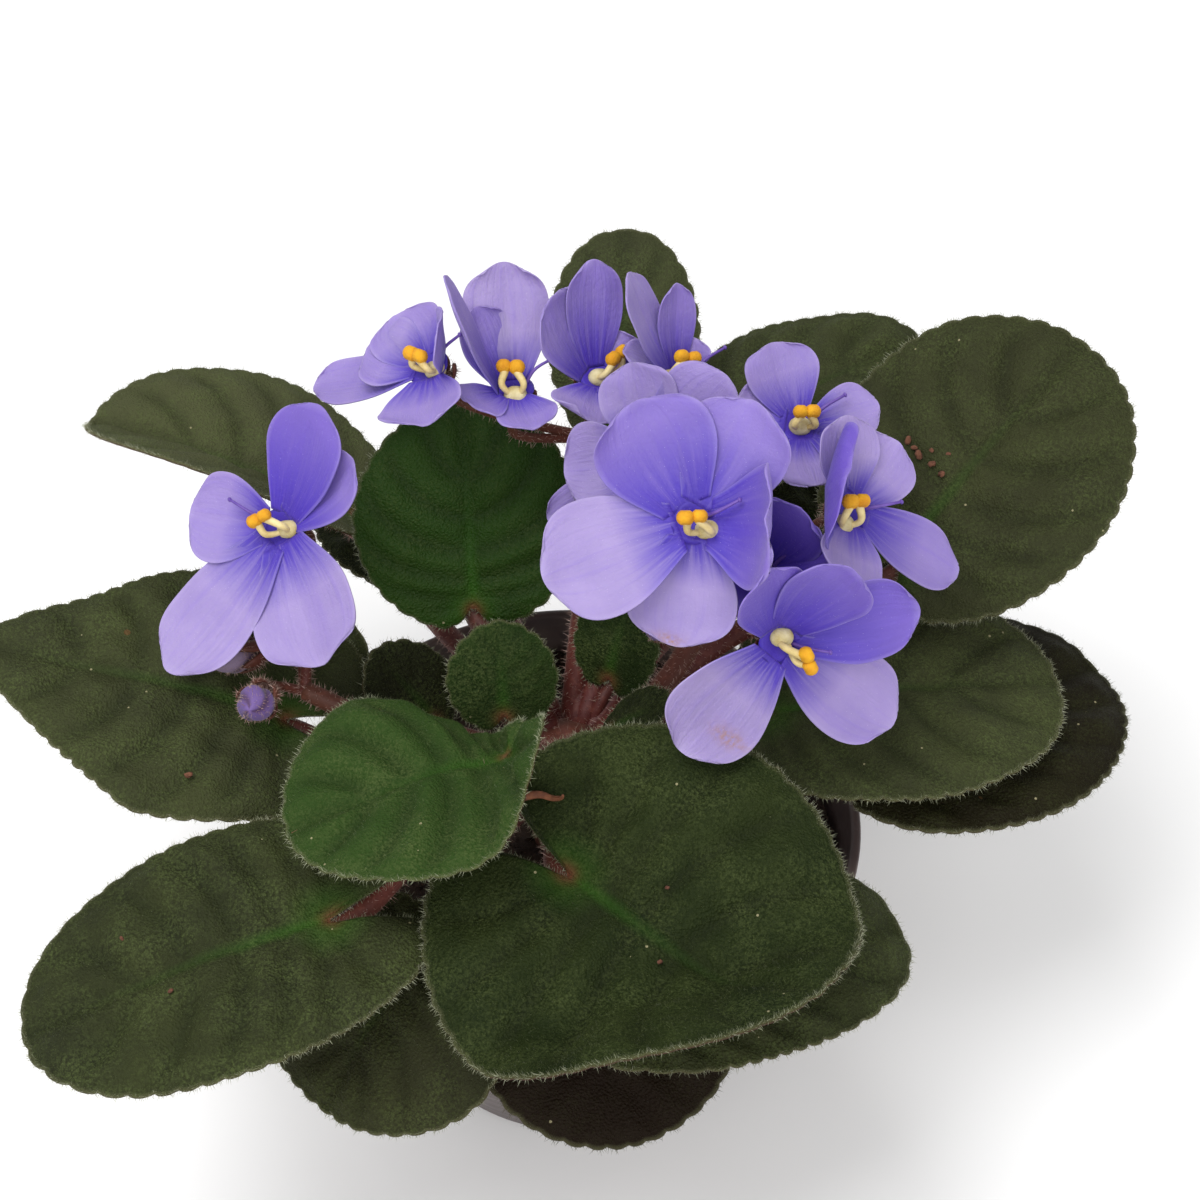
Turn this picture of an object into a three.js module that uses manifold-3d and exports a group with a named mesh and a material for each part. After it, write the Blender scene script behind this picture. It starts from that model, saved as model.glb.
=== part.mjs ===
// A potted African violet: a rosette of hairy, scallop-edged leaves on fleshy red stalks, three sprays of
// violet-blue blooms with yellow anthers, and the plastic pot and soil that it stands in.
// Millimetres, +Z up. The origin is the centre of the pot's underside, and the blooms face -Y.
import * as THREE from "three";
import { mergeVertices } from "three/addons/utils/BufferGeometryUtils.js";
import Module from "manifold-3d";

const wasm = await Module();
wasm.setup();

// ---------------------------------------------------------------- driving dimensions
const POT_HEIGHT = 52;
const POT_RIM_RADIUS = 51;
const POT_BASE_RADIUS = 31;
const POT_WALL = 1.8;
const POT_SIDES = 28;
const RIM_BAND_HEIGHT = 10;
const RIM_BAND_STEP = 1.6;
const DRAIN_HOLES = 6;
const DRAIN_HOLE_RADIUS = 3.5;
const DRAIN_CIRCLE_RADIUS = 20;
const SOIL_BELOW_RIM = 6;
const GAP = 0.35; // between pieces that touch

const NECK = 17; // how far the crown's collar, where the leaves spring from, stands above the pot's rim
const COLLAR = POT_HEIGHT + NECK;
const CROWN_RADIUS = 7;
const CROWN_TOP = COLLAR + 4;
const CROWN_ROOT = POT_HEIGHT - 30;
const PETIOLE_RADIUS = 1.8;
const SMALL_PETIOLE_RADIUS = 1.1;
const PETIOLE_LOW = COLLAR - 4; // the lowest height that a leaf's stalk leaves the crown at
const PETIOLE_INSET = 4.6; // how far from the crown's axis a stalk's buried end lies
const PETIOLE_HIGH = CROWN_TOP - 3; // the greatest height that it leaves the crown at
const PETIOLE_CLIMB = 0.28; // how much higher a stalk leaves for each millimetre that its blade stands higher
const PETIOLE_SAG = 0.12; // how far a stalk arches up, as a share of its span

const BLADE_THICKNESS = 1.1;
const LOBE = 0.16; // how far the two base lobes reach behind the stalk, as a share of the length
const NOTCH_WIDTH = 0.2; // the half angle of the notch between the lobes, in radians
const BLUNT_TIP = 1.85; // the power of the blade's oval towards its tip: 2 is round, less is more pointed
const BLADE_BEND = 18; // how far the midrib arches down from stalk to tip, in degrees
const BLADE_FOLD = 8; // how far each half of a blade folds up, in degrees
const BLADE_CUP = -0.1; // the curl of the margin, as a share of the half width: below 0 is down
const MIDRIB_SOFTNESS = 0.12; // the rounding of the fold along the midrib, as a share of the half width
const SCALLOP_DEPTH = 0.045;
const QUILT = 0.55; // the rise of the ribs between the side veins
const LARGE_BLADE = 30; // a blade longer than this has more scallops and a stouter stalk

const FACING = 45; // the height that a bloom with no turn and no rise looks up to, in degrees
const PETAL_THICKNESS = 0.75;
const PETAL_ROOT = 2.4; // how far from the throat's axis a petal starts
const PETAL_CURL = 12; // how far a petal curls up along its length, in degrees
const PETAL_CUP = 0.14; // how far the sides of a petal stand up, as a share of its half width
const THROAT_RADIUS = 3.4;
const THROAT_FOOT_RADIUS = 0.7 * THROAT_RADIUS;
const THROAT_FOOT = -1.3;
const THROAT_LIP = 0.5;
const STYLE_RADIUS = 0.45;
const STYLE_TIP = [7, 3.4]; // in the bloom's face, across and up
const STYLE_HEIGHT = 3.6; // of its tip over the throat
const STYLE_ROOT = 0.27; // how far out the style starts, as a share of its tip's distance
const ANTHER_RADIUS = 1.5;
const ANTHER_HEIGHT = 4.2;
const ANTHERS_APART = 0.7 * ANTHER_RADIUS; // from the middle of the pair to each anther's
const STALK_RADIUS = 1.9;
const PEDICEL_RADIUS = 0.8;
const CALYX_TOP = -2.3; // the middle of the calyx, behind the bloom's face
const CALYX_FOOT = -5.6;
const CALYX_RADIUS = 1.25;
const SEPALS = 5;
const SEPAL_REACH = 3.9;
const SEPAL_VALLEY = 1.9;
const SEPAL_RISE = 0.4; // how far a sepal's tip stands over the calyx's middle
const VALLEY_DROP = 0.3; // how far the edge between two sepals lies under it
const PEDICEL_INTO_CALYX = 1.2;
const PEDICEL_BEHIND = 3.4; // how far behind the calyx a bloom's own stalk comes round

// ---------------------------------------------------------------- colours
const finish = (color, roughness) => new THREE.MeshStandardMaterial({ color, roughness, metalness: 0 });
const POT_PLASTIC = finish(0x564b4b, 0.5);
const SOIL_DARK = finish(0x2b1d14, 0.95);
const STALK_RED = finish(0x6b2e2c, 0.7);
const LEAF_GREEN = finish(0x38492a, 0.85);
const YOUNG_GREEN = finish(0x4a6b2f, 0.85);
const PETAL_VIOLET = finish(0x8a72cf, 0.6);
const ANTHER_YELLOW = finish(0xe0aa12, 0.55);
const BUD_MAUVE = finish(0x7c6788, 0.8);

// ---------------------------------------------------------------- the leaves
// joint: where the stalk meets the blade, as a compass angle, a distance from the pot's axis and a height
// above the crown's collar.
// head, pitch, roll: the way that the midrib points, how steeply it climbs, and the blade's turn round it.
// size: the length from the stalk to the tip, and the width.
// left: how far the half to the left of the midrib folds up. tip, lobe: as BLUNT_TIP and LOBE.
// turns: parts of the blade that are turned up, or down, past a straight line, as the line's direction from
// the midrib, its distance from the middle, and the angle.
// via, foot: a point that the leaf's stalk passes through, and as UNDER_FOOT.
const LEAVES = [
  {
    name: "leaf_back_left",
    joint: [135, 53.7, 19],
    head: 167,
    pitch: 24.5,
    size: [49, 47],
    tip: 2,
    left: 46,
    via: [-20.7, 20.5, 6],
  },
  {
    name: "leaf_left",
    joint: [184, 46.6, 12],
    head: 172,
    pitch: 17,
    roll: -8,
    size: [56, 50],
    tip: 1.1,
    lobe: 0.3,
    via: [-25, -10, 3],
  },
  {
    name: "leaf_front_left",
    joint: [231, 57, 12],
    head: 199,
    pitch: -3,
    roll: -6,
    size: [50, 43],
    tip: 2,
    lobe: 0.36,
  },
  {
    name: "leaf_young_folded",
    joint: [252, 27.4, 29.5],
    head: 198,
    pitch: 0,
    roll: 5,
    size: [36.5, 47],
    lobe: 0.34,
    left: 12,
    turns: [[165, 10, 65], [-145, 7, -50]],
    foot: 0.05,
    young: true,
  },
  {
    name: "leaf_front",
    joint: [270, 41.5, 19],
    head: -38,
    pitch: -6,
    roll: 17,
    size: [48, 66],
    lobe: 0.4,
    turns: [[-30, 10.5, 62]],
  },
  {
    name: "leaf_low_front_left",
    joint: [243, 48.5, 5],
    head: 232,
    pitch: -25,
    roll: 2,
    size: [31, 47],
    scallops: 16,
  },
  { name: "leaf_low_front", joint: [276, 48, 4.5], head: 276, pitch: -22, size: [28, 40], scallops: 16 },
  {
    name: "leaf_low_front_right",
    joint: [279, 58, 9],
    head: 25,
    pitch: -4,
    roll: 10,
    size: [51, 33],
    tip: 2.2,
    lobe: 0.25,
  },
  { name: "leaf_right", joint: [-1, 32, 10], head: 8, pitch: 9, size: [51, 48], tip: 2.1 },
  { name: "leaf_low_right", joint: [-8, 49, 4.5], head: 33, pitch: 2, size: [53, 52] },
  {
    name: "leaf_back_right",
    joint: [22, 59.5, 23],
    head: 40,
    pitch: 38,
    roll: 10,
    size: [50, 51],
    tip: 2,
  },
  { name: "leaf_back_right_far", joint: [66, 55, 24], head: 26, pitch: 18, size: [48, 38] },
  { name: "leaf_back", joint: [79, 49, 31], head: 90, pitch: 43, size: [36, 27], tip: 2.1, sag: 0 },
  { name: "leaf_centre_back", joint: [135, 23, 17], head: 95, pitch: 64, size: [36, 39], lobe: 0.1 },
  { name: "leaf_crown_centre", joint: [175, 11, 7], head: 95, pitch: 68, size: [17, 19] },
  {
    name: "leaf_crown_left",
    joint: [173, 23, 3.6],
    head: 150,
    pitch: 52,
    size: [16.5, 19.5],
    via: [-15, -4, -1],
  },
  {
    name: "leaf_crown_sliver",
    joint: [167.5, 36, 4],
    head: 120,
    pitch: 60,
    roll: -62,
    size: [13.5, 8.5],
    via: [-19, 4, 0],
  },
  { name: "leaf_crown_right", joint: [50, 10, 9], head: 60, pitch: 68, size: [17, 16] },
  { name: "leaf_bud_right", joint: [-52, 10, 13], head: -10, pitch: 50, size: [14, 13] },
  { name: "leaf_low_back_left", joint: [114, 41, 7], head: 122, pitch: 0, size: [44, 42], scallops: 12 },
  { name: "leaf_low_back", joint: [77, 42, 4], head: 76, pitch: 2, size: [44, 40], scallops: 12 },
  { name: "leaf_low_back_right", joint: [47, 46, 12], head: 44, pitch: 4, size: [44, 38], scallops: 12 },
];

// ---------------------------------------------------------------- the blooms
// at: the throat, as x, y and a height above the crown's collar.
// turn, rise: how far the bloom looks to the right of -Y, and up past FACING, in degrees.
// petals: [clock, length, width, lift, twist, curl], where clock is the turn from the bloom's top seen from
// the front, lift is the petal's climb out of the bloom's plane at its base, and, for some, twist is its turn
// about its own line and curl is as PETAL_CURL.
// anthers: where the pair stands in the bloom's face, across and up, and its turn.
// style: where the style's tip stands in the bloom's face, where it isn't at STYLE_TIP.
const BLOOMS = [
  {
    name: "left",
    at: [-46.5, 12.5, 39.5],
    turn: -25,
    rise: 5,
    petals: [[27, 20, 14.5, 12], [52, 16, 13, 4], [-80, 14, 15, 5], [-145, 27, 15.5, 5], [154, 22, 19, 0]],
    anthers: [-1.4, 1, 25],
    style: [-7.5, 4.5],
  },
  {
    name: "back_a",
    at: [-22, 27, 61],
    turn: -33,
    rise: 30,
    petals: [[-42, 10, 13, 15], [70, 10, 11, 56], [-75, 10, 13, 12], [-97, 20, 9.5, -4], [165, 10, 15, 0]],
    anthers: [0, -0.6, -20],
  },
  {
    name: "back_b",
    at: [-8.9, 26.5, 57],
    turn: 0,
    rise: 45,
    petals: [[-38, 13, 10, 50], [-7, 19, 14, 50], [-92, 24, 8, 66], [-130, 7, 10, 8], [160, 8, 10, -5]],
    anthers: [-0.3, 0.5, 0],
  },
  {
    name: "back_c",
    at: [5, 30, 56.5],
    turn: 15,
    rise: 35,
    petals: [[-52, 15, 15, 45], [-12, 18, 10, 52], [60, 7, 9, 40], [-165, 8, 15, 0], [125, 7, 11, 5]],
    anthers: [2.3, 1.2, 40],
  },
  {
    name: "back_d",
    at: [18.4, 29, 57.5],
    turn: 15,
    rise: 42,
    petals: [[-60, 19, 10, 50], [-15, 14, 7, 58], [20, 5, 7, 50], [-85, 9, 9, 20], [-150, 9, 12, 0]],
    anthers: [0, 0, 10],
  },
  {
    name: "mid",
    at: [13, 11.5, 55.5],
    turn: -18,
    rise: -5,
    petals: [[-8, 13, 13, 0], [48, 16, 15, 0], [-95, 12, 14, -5], [-117, 19, 7, -18], [180, 12, 13, 0]],
    anthers: [0, 0, 0],
  },
  {
    name: "centre",
    at: [19.2, -6, 58.5],
    turn: -5,
    rise: 3,
    petals: [
      [-27, 18, 19, 10],
      [30, 18, 17, 6],
      [-111, 22, 18.5, -2],
      [-171, 17, 17, -20],
      [98, 18.5, 19, 8, 0, 97],
    ],
    anthers: [0, 0, 0],
  },
  {
    name: "right_back",
    at: [37, 21, 54],
    turn: 12,
    rise: 25,
    petals: [[-18, 12, 13, 15], [78, 11, 10, 10], [-75, 9, 11, 0], [175, 9, 12, 0], [115, 9, 11, 0]],
    anthers: [0, 0, 0],
  },
  {
    name: "right_high",
    at: [44, 4, 51.5],
    turn: 32,
    rise: 12,
    petals: [
      [-5, 12.5, 12, 12],
      [40, 12, 13, 5],
      [-70, 14, 21, 17, 0, 85],
      [115, 21, 11, -10],
      [-160, 12, 12, 10],
    ],
    anthers: [-2, 0, 0],
    style: [7.3, 1],
  },
  {
    name: "dark",
    at: [30.4, 0, 42.2],
    turn: 0,
    rise: 10,
    petals: [[-22, 14, 13, 50], [38, 14, 12, 54], [88, 12, 12, 42], [180, 12, 13, 54], [-130, 13, 11, 56]],
    anthers: [0, 0, 80],
  },
  {
    name: "right_low",
    at: [32, -18, 45],
    turn: 22,
    rise: -18,
    petals: [
      [-30, 15, 12, 25],
      [22, 16, 14, 30],
      [73, 20, 13.5, 5],
      [122, 23, 14.5, -5],
      [-145, 20, 17, -12],
    ],
    anthers: [3.3, -1.9, -55],
    style: [7, -0.6],
  },
];

// ---------------------------------------------------------------- the sprays
// stem: the points that the spray's main stalk runs through, from the crown to its fork.
// blooms: the blooms that it carries, with a point that the bloom's own stalk is led through, or null.
// buds: where each bud stands, the way that it looks, and its size.
const SPRAYS = [
  {
    name: "left",
    stem: [[-2, -1, -2], [-12, -7, 8], [-28, -8, 13.5], [-43, -3, 18]],
    blooms: { left: null },
    buds: [
      { name: "bud_left_a", at: [-50, -7, 20], look: [-0.1, -0.8, 0.5], width: 6.5, length: 8 },
      { name: "bud_left_b", at: [-53, 2, 21], look: [-0.8, -0.5, 0.1], width: 5, length: 8 },
    ],
  },
  {
    name: "back",
    stem: [[0, 4, -2], [2, 17, 14], [5, 28, 30], [5, 33, 41]],
    blooms: { back_a: [-7, 29, 48], back_b: null, back_c: null, back_d: null },
    buds: [],
  },
  {
    name: "right",
    stem: [[3, -2, -2], [11, -2, 10], [19, 0, 24], [23, 4, 33]],
    blooms: { mid: null, centre: null, right_back: null, right_high: null, dark: null, right_low: null },
    buds: [{ name: "bud_right", at: [15, -6, 36], look: [-0.5, -0.7, 0.4], width: 4.4, length: 6.5 }],
  },
];

// ---------------------------------------------------------------- points and solids
const rad = THREE.MathUtils.degToRad;
const vec = (x, y, z) => new THREE.Vector3(x, y, z);
// A point given by its height above the crown's collar.
const above = (x, y, up) => vec(x, y, COLLAR + up);

// A three.js geometry as a manifold-3d solid, moved by a matrix.
function solidOf(geometry, matrix) {
  const g = geometry.clone();
  for (const name of Object.keys(g.attributes)) {
    if (name !== "position") g.deleteAttribute(name);
  }
  if (matrix) g.applyMatrix4(matrix);
  const merged = mergeVertices(g, 1e-4);
  return new wasm.Manifold(
    new wasm.Mesh({
      numProp: 3,
      vertProperties: new Float32Array(merged.attributes.position.array),
      triVerts: new Uint32Array(merged.index.array),
    }),
  );
}

const SIMPLER = 0.08; // the largest move of a surface when a fused solid's small triangles are merged
const fuse = (solids) => solids.reduce((a, b) => a.add(b)).simplify(SIMPLER);

// The largest body of a solid: a cut can leave scraps.
function largest(solid) {
  return solid.decompose().reduce((a, b) => (b.volume() > a.volume() ? b : a));
}

function geometryOf(solid) {
  const mesh = solid.getMesh();
  const g = new THREE.BufferGeometry();
  g.setAttribute("position", new THREE.BufferAttribute(new Float32Array(mesh.vertProperties), 3));
  g.setIndex(new THREE.BufferAttribute(new Uint32Array(mesh.triVerts), 1));
  g.computeVertexNormals();
  return g;
}

// A sheet of points and triangles given a thickness: both faces share one triangulation.
function thicken(points, triangles, thickness) {
  const normals = points.map(() => vec(0, 0, 0));
  const ab = vec(0, 0, 0);
  const ac = vec(0, 0, 0);
  for (const [a, b, c] of triangles) {
    ab.subVectors(points[b], points[a]);
    ac.subVectors(points[c], points[a]);
    const n = vec(0, 0, 0).crossVectors(ab, ac);
    for (const i of [a, b, c]) normals[i].add(n);
  }
  const position = [];
  for (const side of [0.5, -0.5]) {
    points.forEach((p, i) => {
      const q = p.clone().addScaledVector(normals[i].clone().normalize(), side * thickness);
      position.push(q.x, q.y, q.z);
    });
  }
  const count = points.length;
  const index = [];
  const edges = new Map();
  for (const [a, b, c] of triangles) {
    index.push(a, b, c, a + count, c + count, b + count);
    for (const [p, q] of [[a, b], [b, c], [c, a]]) {
      if (!edges.delete(q + "," + p)) edges.set(p + "," + q, [p, q]);
    }
  }
  for (const [p, q] of edges.values()) index.push(q, p, p + count, q, p + count, q + count);
  const g = new THREE.BufferGeometry();
  g.setAttribute("position", new THREE.Float32BufferAttribute(position, 3));
  g.setIndex(index);
  return g;
}

// Triangles between two rings of points, where the outer has as many points as the inner, or double.
function ringTriangles(inner, outer) {
  const out = [];
  const per = outer.length / inner.length;
  inner.forEach((a, i) => {
    const b = inner[(i + 1) % inner.length];
    const o = (k) => outer[(i * per + k) % outer.length];
    out.push([a, o(0), o(1)]);
    if (per === 2) out.push([a, o(1), b], [b, o(1), o(2)]);
    else out.push([a, o(1), b]);
  });
  return out;
}

// A rod between two points.
function rodSolid(from, to, radiusFrom, radiusTo, sides) {
  const axis = vec(0, 0, 0).subVectors(to, from);
  const g = new THREE.CylinderGeometry(radiusTo, radiusFrom, axis.length(), sides);
  const turn = new THREE.Quaternion().setFromUnitVectors(vec(0, 1, 0), axis.clone().normalize());
  const at = vec(0, 0, 0).addVectors(from, to).multiplyScalar(0.5);
  return solidOf(g, new THREE.Matrix4().compose(at, turn, vec(1, 1, 1)));
}

// A round stalk that follows a smooth curve through some points.
function stalkSolid(points, radius, sides, steps) {
  const shape = new THREE.Shape();
  for (let i = 0; i < sides; i++) {
    const angle = (2 * Math.PI * i) / sides;
    const x = radius * Math.cos(angle);
    const y = radius * Math.sin(angle);
    if (i) shape.lineTo(x, y);
    else shape.moveTo(x, y);
  }
  const extrudePath = new THREE.CatmullRomCurve3(points, false, "centripetal");
  return solidOf(new THREE.ExtrudeGeometry(shape, { steps, extrudePath, bevelEnabled: false }));
}

// A solid turned round the vertical axis from a profile of radius and height.
function latheSolid(profile, sides) {
  const g = new THREE.LatheGeometry(profile.map(([x, y]) => new THREE.Vector2(x, y)), sides);
  return solidOf(g.rotateX(Math.PI / 2));
}

// ---------------------------------------------------------------- a leaf's blade
// The shares of the way from the blade's middle to its edge that the ribs are drawn at.
const INNER_RING = 0.42;
const RIB_RING = 0.8;

// The middle of the blade, along the midrib from the stalk: halfway from the tip to the lobes.
const middleOf = (leaf) => ((1 - (leaf.lobe ?? LOBE)) / 2) * leaf.size[0];

// The outline's distance from the blade's middle, at an angle from the tip.
function outline(leaf, angle) {
  const [length, width] = leaf.size;
  const lobe = leaf.lobe ?? LOBE;
  const along = ((1 + lobe) / 2) * length;
  const c = Math.abs(Math.cos(angle)) / along;
  const s = Math.abs(Math.sin(angle)) / (width / 2);
  const power = Math.cos(angle) > 0 ? (leaf.tip ?? BLUNT_TIP) : 2;
  const oval = (c ** power + s ** power) ** (-1 / power);
  const fromBase = Math.PI - Math.abs(angle);
  const notch = ((lobe * length) / along) * Math.exp(-((fromBase / NOTCH_WIDTH) ** 2));
  return oval * (1 - notch);
}

// Lifts a flat point of the blade, along and across the midrib, on to its folded and arched surface.
function bladePoint(leaf, x, y, ridge) {
  const [length, width] = leaf.size;
  let lift = ridge;
  for (const [direction, from, up] of leaf.turns ?? []) {
    const [cos, sin] = [Math.cos(rad(direction)), Math.sin(rad(direction))];
    const past = Math.max((x - middleOf(leaf)) * cos + y * sin - from, 0);
    const drawn = past * (1 - Math.cos(rad(up)));
    x -= drawn * cos;
    y -= drawn * sin;
    lift += past * Math.sin(rad(up));
  }
  const fold = rad(y > 0 ? (leaf.left ?? BLADE_FOLD) : BLADE_FOLD);
  const half = width / 2;
  const soft = MIDRIB_SOFTNESS * half;
  const out = Math.sqrt(y * y + soft * soft) - soft;
  const rise = out * Math.sin(fold) + BLADE_CUP * half * (y / half) ** 2 + lift;
  const bend = rad(BLADE_BEND) / length;
  const tilt = bend * x;
  return vec(
    Math.sin(tilt) / bend + rise * Math.sin(tilt),
    y * Math.cos(fold),
    (Math.cos(tilt) - 1) / bend + rise * Math.cos(tilt),
  );
}

function bladeSheet(leaf, scallops) {
  const points = [];
  const ring = (count, share, ridge) =>
    Array.from({ length: count }, (_, i) => {
      const turn = (2 * Math.PI * i) / count;
      const angle = turn > Math.PI ? turn - 2 * Math.PI : turn;
      const reach = outline(leaf, angle) * share(i);
      const x = middleOf(leaf) + reach * Math.cos(angle);
      points.push(bladePoint(leaf, x, reach * Math.sin(angle), ridge(i)));
      return points.length - 1;
    });
  const level = () => 0;
  const rib = (rise) => (i) => (i % 2 ? rise : -rise);
  const centre = ring(1, () => 0, level);
  const inner = ring(scallops / 2, () => INNER_RING, rib(QUILT / 2));
  const middle = ring(scallops, () => RIB_RING, rib(QUILT));
  const edge = ring(2 * scallops, (i) => (i % 2 ? 1 - SCALLOP_DEPTH : 1), level);
  const fan = inner.map((a, i) => [centre[0], a, inner[(i + 1) % inner.length]]);
  const triangles = [...fan, ...ringTriangles(inner, middle), ...ringTriangles(middle, edge)];
  return { points, triangles };
}

// The turn and place of a leaf: x runs along the midrib, z out of the upper face.
function leafMatrix(leaf) {
  const head = rad(leaf.head);
  const pitch = rad(leaf.pitch);
  const x = vec(Math.cos(head) * Math.cos(pitch), Math.sin(head) * Math.cos(pitch), Math.sin(pitch));
  const y = vec(-Math.sin(head), Math.cos(head), 0).applyAxisAngle(x, rad(leaf.roll ?? 0));
  const z = vec(0, 0, 0).crossVectors(x, y);
  const [az, reach, up] = leaf.joint;
  const at = above(reach * Math.cos(rad(az)), reach * Math.sin(rad(az)), up);
  return new THREE.Matrix4().makeBasis(x, y, z).setPosition(at);
}

const isLarge = (leaf) => leaf.size[0] > LARGE_BLADE;

function bladeSolid(leaf) {
  const sheet = bladeSheet(leaf, leaf.scallops ?? (isLarge(leaf) ? 18 : 12));
  return solidOf(thicken(sheet.points, sheet.triangles, BLADE_THICKNESS), leafMatrix(leaf));
}

// ---------------------------------------------------------------- a leaf's stalk
// Out of the crown, up, and on under the foot of the midrib.
const UNDER_FOOT = -0.04; // where the stalk comes under the midrib, and how far it runs on under it, as
const UNDER_RUN = 0.2; // shares of the blade's length

function petioleSolid(leaf) {
  const az = rad(leaf.joint[0]);
  const matrix = leafMatrix(leaf);
  const radius = isLarge(leaf) ? PETIOLE_RADIUS : SMALL_PETIOLE_RADIUS;
  const underside = (share) => {
    const p = bladePoint(leaf, share * leaf.size[0], 0, 0);
    p.z -= BLADE_THICKNESS / 2 + QUILT + GAP + radius;
    return p.applyMatrix4(matrix);
  };
  const climb = COLLAR + leaf.joint[2] - PETIOLE_LOW;
  const root = Math.min(PETIOLE_HIGH, PETIOLE_LOW + PETIOLE_CLIMB * climb);
  const start = vec(PETIOLE_INSET * Math.cos(az), PETIOLE_INSET * Math.sin(az), root);
  const foot = underside(leaf.foot ?? UNDER_FOOT);
  const middle = vec(0, 0, 0).lerpVectors(start, foot, 0.5);
  middle.z += (leaf.sag ?? PETIOLE_SAG) * start.distanceTo(foot);
  if (leaf.via) middle.copy(above(...leaf.via));
  const points = [start, middle, foot, underside((leaf.foot ?? UNDER_FOOT) + UNDER_RUN)];
  return stalkSolid(points, radius, 5, isLarge(leaf) ? 6 : 4);
}

// ---------------------------------------------------------------- a bloom
// The rows of points across a petal: how far along it each one is, and its share of the half width.
const PETAL_ROWS = [
  [0, 0.42],
  [0.36, 0.9],
  [0.76, 0.94],
  [1, 0.38],
];
// How far the sides of a petal fall back from its middle, as a share of the way out.
const PETAL_SHOULDERS = 0.04;

// How far out and up a strip of some length goes that starts at an angle and turns by another.
function arc(length, start, turn) {
  if (turn === 0) return [0, 0];
  return [
    (length / turn) * (Math.sin(start + turn) - Math.sin(start)),
    (length / turn) * (Math.cos(start) - Math.cos(start + turn)),
  ];
}

function petalSolid([clock, length, width, lift, twist = 0, curl = PETAL_CURL]) {
  const points = [];
  for (const [share, wide] of PETAL_ROWS) {
    const turn = rad(curl) * share;
    const [out, up] = arc(length * share, rad(lift), turn);
    const slope = rad(lift) + turn;
    const half = (width / 2) * wide;
    const twisted = share ? rad(twist) : 0;
    for (const side of [-1, 0, 1]) {
      const cup = (side ? PETAL_CUP * half : 0) + side * half * Math.sin(twisted);
      const back = side ? PETAL_SHOULDERS * length * share : 0;
      const reach = PETAL_ROOT + out - back * Math.cos(slope) - cup * Math.sin(slope);
      const height = up - back * Math.sin(slope) + cup * Math.cos(slope);
      points.push(vec(side * half * Math.cos(twisted), reach, height));
    }
  }
  const triangles = [];
  for (let row = 0; row < PETAL_ROWS.length - 1; row++) {
    const a = row * 3;
    triangles.push([a, a + 1, a + 4], [a, a + 4, a + 3], [a + 1, a + 2, a + 4], [a + 2, a + 5, a + 4]);
  }
  const turned = new THREE.Matrix4().makeRotationZ(-rad(clock));
  return solidOf(thicken(points, triangles, PETAL_THICKNESS), turned);
}

// The turn and place of a bloom: z points out of its throat, y to its top.
function bloomMatrix(bloom) {
  return new THREE.Matrix4()
    .makeRotationX(rad(90 - FACING))
    .multiply(new THREE.Matrix4().makeRotationY(rad(bloom.turn)))
    .multiply(new THREE.Matrix4().makeRotationX(-rad(bloom.rise)))
    .setPosition(above(...bloom.at));
}

// The five petals, joined round the throat, with the style that leans out of it.
function corollaSolid(bloom) {
  const [foot, lip] = [vec(0, 0, THROAT_FOOT), vec(0, 0, THROAT_LIP)];
  const throat = rodSolid(foot, lip, THROAT_FOOT_RADIUS, THROAT_RADIUS, 6);
  const [x, y] = bloom.style ?? STYLE_TIP;
  const [root, tip] = [vec(STYLE_ROOT * x, STYLE_ROOT * y, 0), vec(x, y, STYLE_HEIGHT)];
  const style = rodSolid(root, tip, STYLE_RADIUS, STYLE_RADIUS, 4);
  const solid = fuse([throat, style, ...bloom.petals.map(petalSolid)]);
  return largest(solid.transform(bloomMatrix(bloom).elements));
}

// The two joined anthers on their short stem, which leans out of the throat.
function antherSolid(bloom) {
  const [across, up, turn] = bloom.anthers;
  const pair = new THREE.Matrix4().makeRotationZ(rad(turn)).setPosition(across, up, ANTHER_HEIGHT);
  const lobe = (x) => {
    const place = new THREE.Matrix4().makeTranslation(x, 0, 0);
    return solidOf(new THREE.OctahedronGeometry(ANTHER_RADIUS, 1), place.premultiply(pair));
  };
  const foot = vec(0, -0.2, THROAT_LIP + GAP + 0.3);
  const stem = rodSolid(foot, vec(across, up, ANTHER_HEIGHT), 0.6, 0.9, 4);
  return fuse([lobe(-ANTHERS_APART), lobe(ANTHERS_APART), stem]).transform(bloomMatrix(bloom).elements);
}

// ---------------------------------------------------------------- a spray
// A calyx of pointed sepals, under a bloom or a bud that stands at a matrix.
function calyxSolid(matrix) {
  const count = 2 * SEPALS;
  const points = [vec(0, 0, CALYX_TOP), vec(0, 0, CALYX_FOOT)];
  const round = (radius, i, z) => {
    const angle = (2 * Math.PI * i) / count;
    return vec(radius * Math.cos(angle), radius * Math.sin(angle), z);
  };
  for (let i = 0; i < count; i++) {
    const valley = i % 2 === 1;
    const [reach, rise] = valley ? [SEPAL_VALLEY, -VALLEY_DROP] : [SEPAL_REACH, SEPAL_RISE];
    points.push(round(reach, i, CALYX_TOP + rise));
  }
  for (let i = 0; i < count; i++) points.push(round(CALYX_RADIUS, i, CALYX_FOOT + 1));
  const triangles = [];
  for (let i = 0; i < count; i++) {
    const top = 2 + i;
    const nextTop = 2 + ((i + 1) % count);
    triangles.push([0, top, nextTop], [top, top + count, nextTop + count]);
    triangles.push([top, nextTop + count, nextTop], [1, nextTop + count, top + count]);
  }
  const g = new THREE.BufferGeometry();
  g.setAttribute("position", new THREE.Float32BufferAttribute(points.flatMap((p) => p.toArray()), 3));
  g.setIndex(triangles.flat());
  return solidOf(g, matrix);
}

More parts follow.
